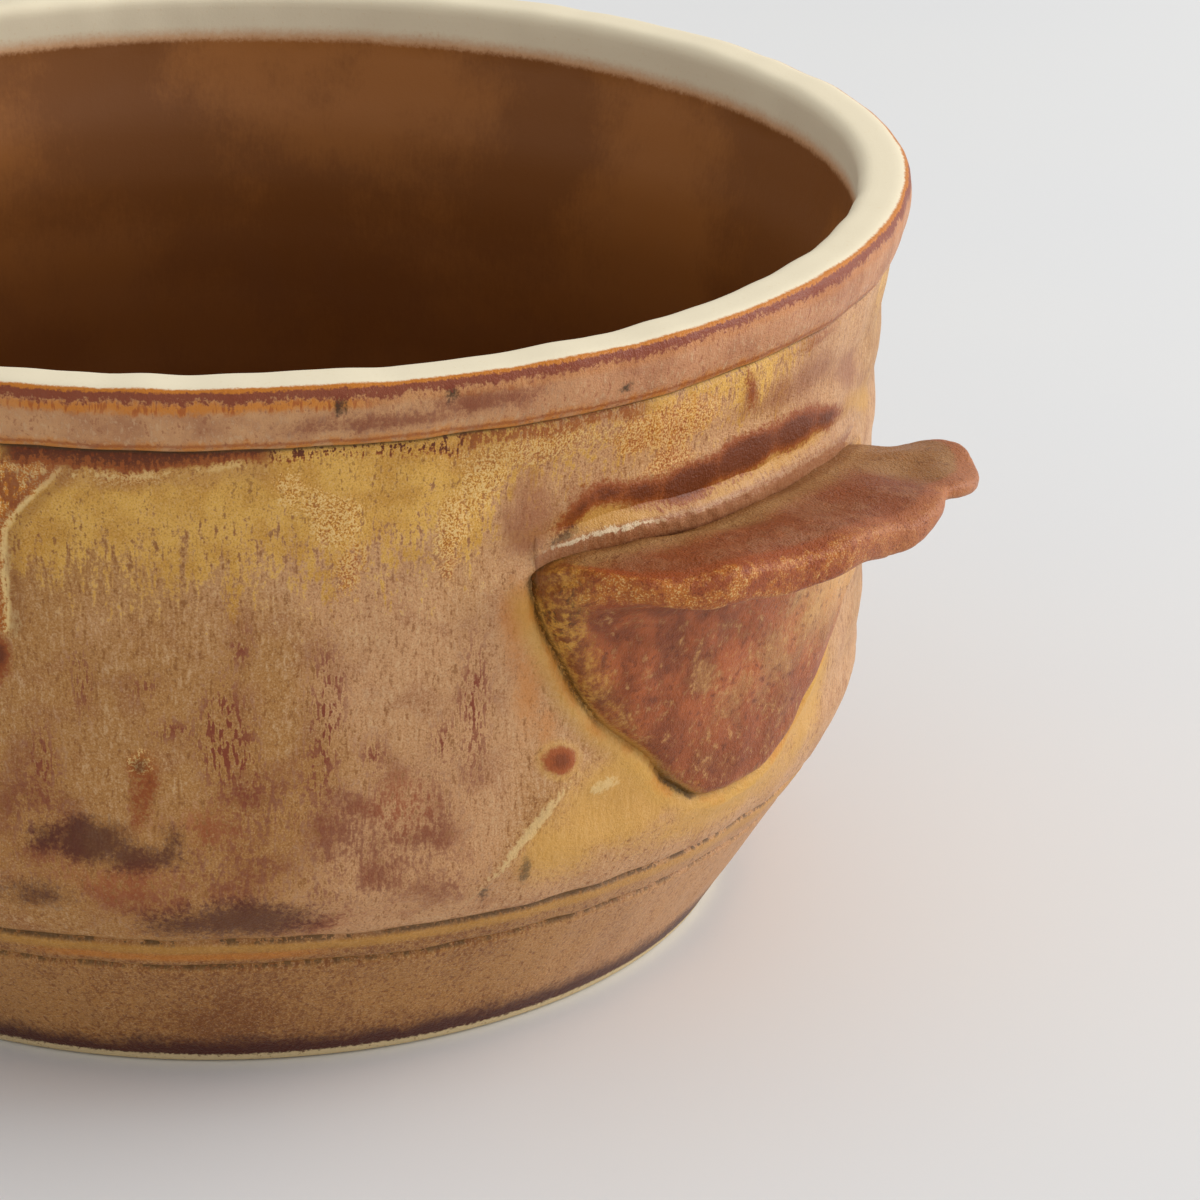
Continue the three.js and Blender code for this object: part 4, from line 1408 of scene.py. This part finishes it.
@dataclass
class SeamCoil:
    """Coil of clay smeared up the wall over the lug's root."""

    lug: Lug
    first_angle: float = -21.8
    last_angle: float = 21.4
    crest: float = 1.05  # how far the coil stands off the wall
    rise: float = 4.6  # how far up the wall it is smeared
    sunk: float = 0.8

    def section_at(self, share: float, ends: float) -> tuple[float, float]:
        """Section of the coil.

        Args:
            share: Place across the coil, 0 at the crease to 1 at the top.
            ends: Share of full size, falling towards the coil's ends.

        Returns:
            Height above the crease and how far the coil stands off the wall.
        """
        up = self.rise * share - 0.6
        front = math.sqrt(max(0.0, 1 - (1 - min(1.0, share / 0.5)) ** 2))
        stand = self.crest * ends * front * (1 - ease(0.46, 0.92, share))
        return up, stand - 0.35 * share ** 4 - 0.25 * (1 - front)

    def skin(self) -> bmesh.types.BMesh:
        """Shapes the coil from a sheet and closes its back inside the wall.

        Returns:
            The coil's mesh, in place on the right side.
        """
        body, bm = self.lug.body, bmesh.new()
        crest_layer = bm.verts.layers.float.new("crest")
        low_layer = bm.verts.layers.float.new("low")
        sheet = bmesh.ops.create_grid(bm, x_segments=150, y_segments=24, size=1.0)["verts"]
        for vert in sheet:
            run, share = (vert.co.x + 1) / 2, (vert.co.y + 1) / 2
            angle = self.first_angle + (self.last_angle - self.first_angle) * run
            ends = ease(-0.04, 0.22, run) * (0.25 + 0.75 * ease(0.80, 0.35, run)) * ease(1.0, 0.85, run)
            up, stand = self.section_at(share, ends)
            height = value_at(self.lug.crease, angle) + up + 0.15 * noise.noise(Vector((angle * 0.3, 0, 7)))
            rough = noise.noise(Vector((angle * 0.9, share * 3, 3)))
            rough += 0.6 * noise.noise(Vector((angle * 2.2, share * 5, 1)))
            stand += 0.2 * rough * hump(share - 0.45, 0.3) * ends
            vert[crest_layer] = hump(share - 0.54 + 0.05 * noise.noise(Vector((angle * 0.6, 0, 9))), 0.08)
            vert[low_layer] = 1 - share
            out = body.radius_at(height) - body.wall_radius + stand
            vert.co = self.lug.place(self.lug.span(angle), out, height)
        faces = list(bm.faces)
        back = bmesh.ops.extrude_face_region(bm, geom=faces, use_keep_orig=True)["geom"]
        for vert in (v for v in back if isinstance(v, bmesh.types.BMVert)):
            radius = (body.radius_at(vert.co.z / MM) - self.sunk) * MM
            flat = Vector((vert.co.x, vert.co.y, 0)).normalized() * radius
            vert.co = Vector((flat.x, flat.y, vert.co.z))
        bmesh.ops.recalc_face_normals(bm, faces=bm.faces)
        return bm

    def build(self, finish: SeamGlaze) -> list[bpy.types.Object]:
        """Builds both coils.

        Args:
            finish: The coils' glaze.

        Returns:
            The right and the left coil.
        """
        skin, material, pieces = self.skin(), finish.make(self.lug.body), []
        for side in Side:
            bm = turned_copy(skin, side)
            piece = mesh_object(f"{side.label}_seam_coil_clay", bm, material)
            paint(piece.data, tuple(Stain), self.lug.body.wall_radius)
            pieces.append(dress(piece, f"{side.label}_seam_coil"))
        skin.free()
        return pieces


@dataclass
class Studio:
    """Pale floor, soft light and the camera."""

    turn: float = 43.5  # degrees from the camera's own frame to the part's
    camera_back: float = 457.2  # millimetres from the bowl's axis
    camera_height: float = 210.43
    yaw: float = 4.526
    pitch: float = 21.967
    roll: float = 0.409
    lens: float = 150.0
    sensor: float = 36.0
    floor_half: float = 6.0  # metres
    floor_tone: str = "e9e9e8"
    floor_patch: str = "e6e7e8"
    world_tone: str = "f3f3f3"
    world_strength: float = 0.68
    aim_height: float = 0.04  # metres, where the lamps point
    window_place: tuple[float, float, float] = (0.95, 0.12, 0.48)  # right of, behind and above the bowl
    window_size: float = 0.8
    window_power: float = 8.0
    fill_place: tuple[float, float, float] = (0.55, -0.9, 0.6)
    fill_size: float = 1.0
    fill_power: float = 1.6

    def from_camera(self, x: float, y: float, z: float) -> Vector:
        """Turns a place given right of, behind and above the bowl into the part's frame."""
        return Matrix.Rotation(math.radians(self.turn), 3, "Z") @ Vector((x, y, z))

    def add_camera(self) -> bpy.types.Object:
        """Sets up the camera.

        Returns:
            The camera.
        """
        yaw, pitch, roll = (math.radians(a) for a in (self.yaw, self.pitch, self.roll))
        ahead = Vector((math.sin(yaw) * math.cos(pitch), math.cos(yaw) * math.cos(pitch), -math.sin(pitch)))
        right = ahead.cross(Vector((0, 0, 1))).normalized()
        up = right.cross(ahead)
        level = math.cos(roll) * right + math.sin(roll) * up
        upright = -math.sin(roll) * right + math.cos(roll) * up
        axes = Matrix((level, upright, -ahead)).transposed()
        data = bpy.data.cameras.new("camera")
        data.lens, data.sensor_width, data.sensor_fit = self.lens, self.sensor, "HORIZONTAL"
        data.clip_start, data.clip_end = 0.01, 50.0
        camera = bpy.data.objects.new("camera", data)
        spin = Matrix.Rotation(math.radians(self.turn), 3, "Z")
        place = self.from_camera(0, -self.camera_back * MM, self.camera_height * MM)
        camera.matrix_world = Matrix.Translation(place) @ (spin @ axes).to_4x4()
        bpy.context.scene.collection.objects.link(camera)
        bpy.context.scene.camera = camera
        return camera

    def add_floor(self) -> bpy.types.Object:
        """Lays the floor.

        Returns:
            The floor.
        """
        bench = GlazeBench("pale_floor")
        place = bench.add("ShaderNodeTexCoord", None, None, "Object")
        cloud = bench.noise(place, 6.0, 3.0)
        colour = bench.mix(bench.step(cloud, 0.3, 0.7), self.floor_tone, self.floor_patch)
        surface = bench.add("ShaderNodeBsdfPrincipled", None, {"Base Color": colour, "Roughness": 0.6})
        bench.add("ShaderNodeOutputMaterial", None, {"Surface": surface})
        bm = bmesh.new()
        bmesh.ops.create_grid(bm, x_segments=4, y_segments=4, size=self.floor_half)
        floor = mesh_object("floor", bm, bench.material)
        return floor

    def add_lamp(self, name: str, place: Vector, size: float, power: float) -> bpy.types.Object:
        """Hangs a square soft lamp that faces the bowl.

        Args:
            name: The lamp's name.
            place: Where it hangs.
            size: Length of its side in metres.
            power: Its power in watts.

        Returns:
            The lamp.
        """
        data = bpy.data.lights.new(name, "AREA")
        data.size, data.energy = size, power
        lamp = bpy.data.objects.new(name, data)
        lamp.location = place
        lamp.rotation_euler = (Vector((0, 0, self.aim_height)) - place).to_track_quat("-Z", "Y").to_euler()
        bpy.context.scene.collection.objects.link(lamp)
        return lamp

    def add_world(self) -> None:
        """Lights the whole scene evenly and shows a pale background."""
        world = bpy.data.worlds.new("studio")
        world.use_nodes = True
        nodes, links = world.node_tree.nodes, world.node_tree.links
        nodes.clear()
        background = nodes.new("ShaderNodeBackground")
        background.inputs["Color"].default_value = tone(self.world_tone)
        background.inputs["Strength"].default_value = self.world_strength
        output = nodes.new("ShaderNodeOutputWorld")
        links.new(background.outputs[0], output.inputs[0])
        bpy.context.scene.world = world

    def build(self) -> None:
        """Sets up floor, light and camera."""
        self.add_camera()
        self.add_floor()
        self.add_world()
        window, fill = self.from_camera(*self.window_place), self.from_camera(*self.fill_place)
        self.add_lamp("window_light", window, self.window_size, self.window_power)
        self.add_lamp("fill_light", fill, self.fill_size, self.fill_power)
        bpy.context.scene.view_settings.view_transform = "Standard"


def main() -> None:
    """Builds the bowl and its studio."""
    logging.basicConfig(level=logging.INFO, format="%(message)s")
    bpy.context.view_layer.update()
    Studio().build()
    body = BowlBody()
    lug = Lug(body)
    body.build(WallGlaze(), lug)
    lug.build(LugGlaze().make())
    SeamCoil(lug).build(SeamGlaze())


if __name__ == "__main__":
    main()
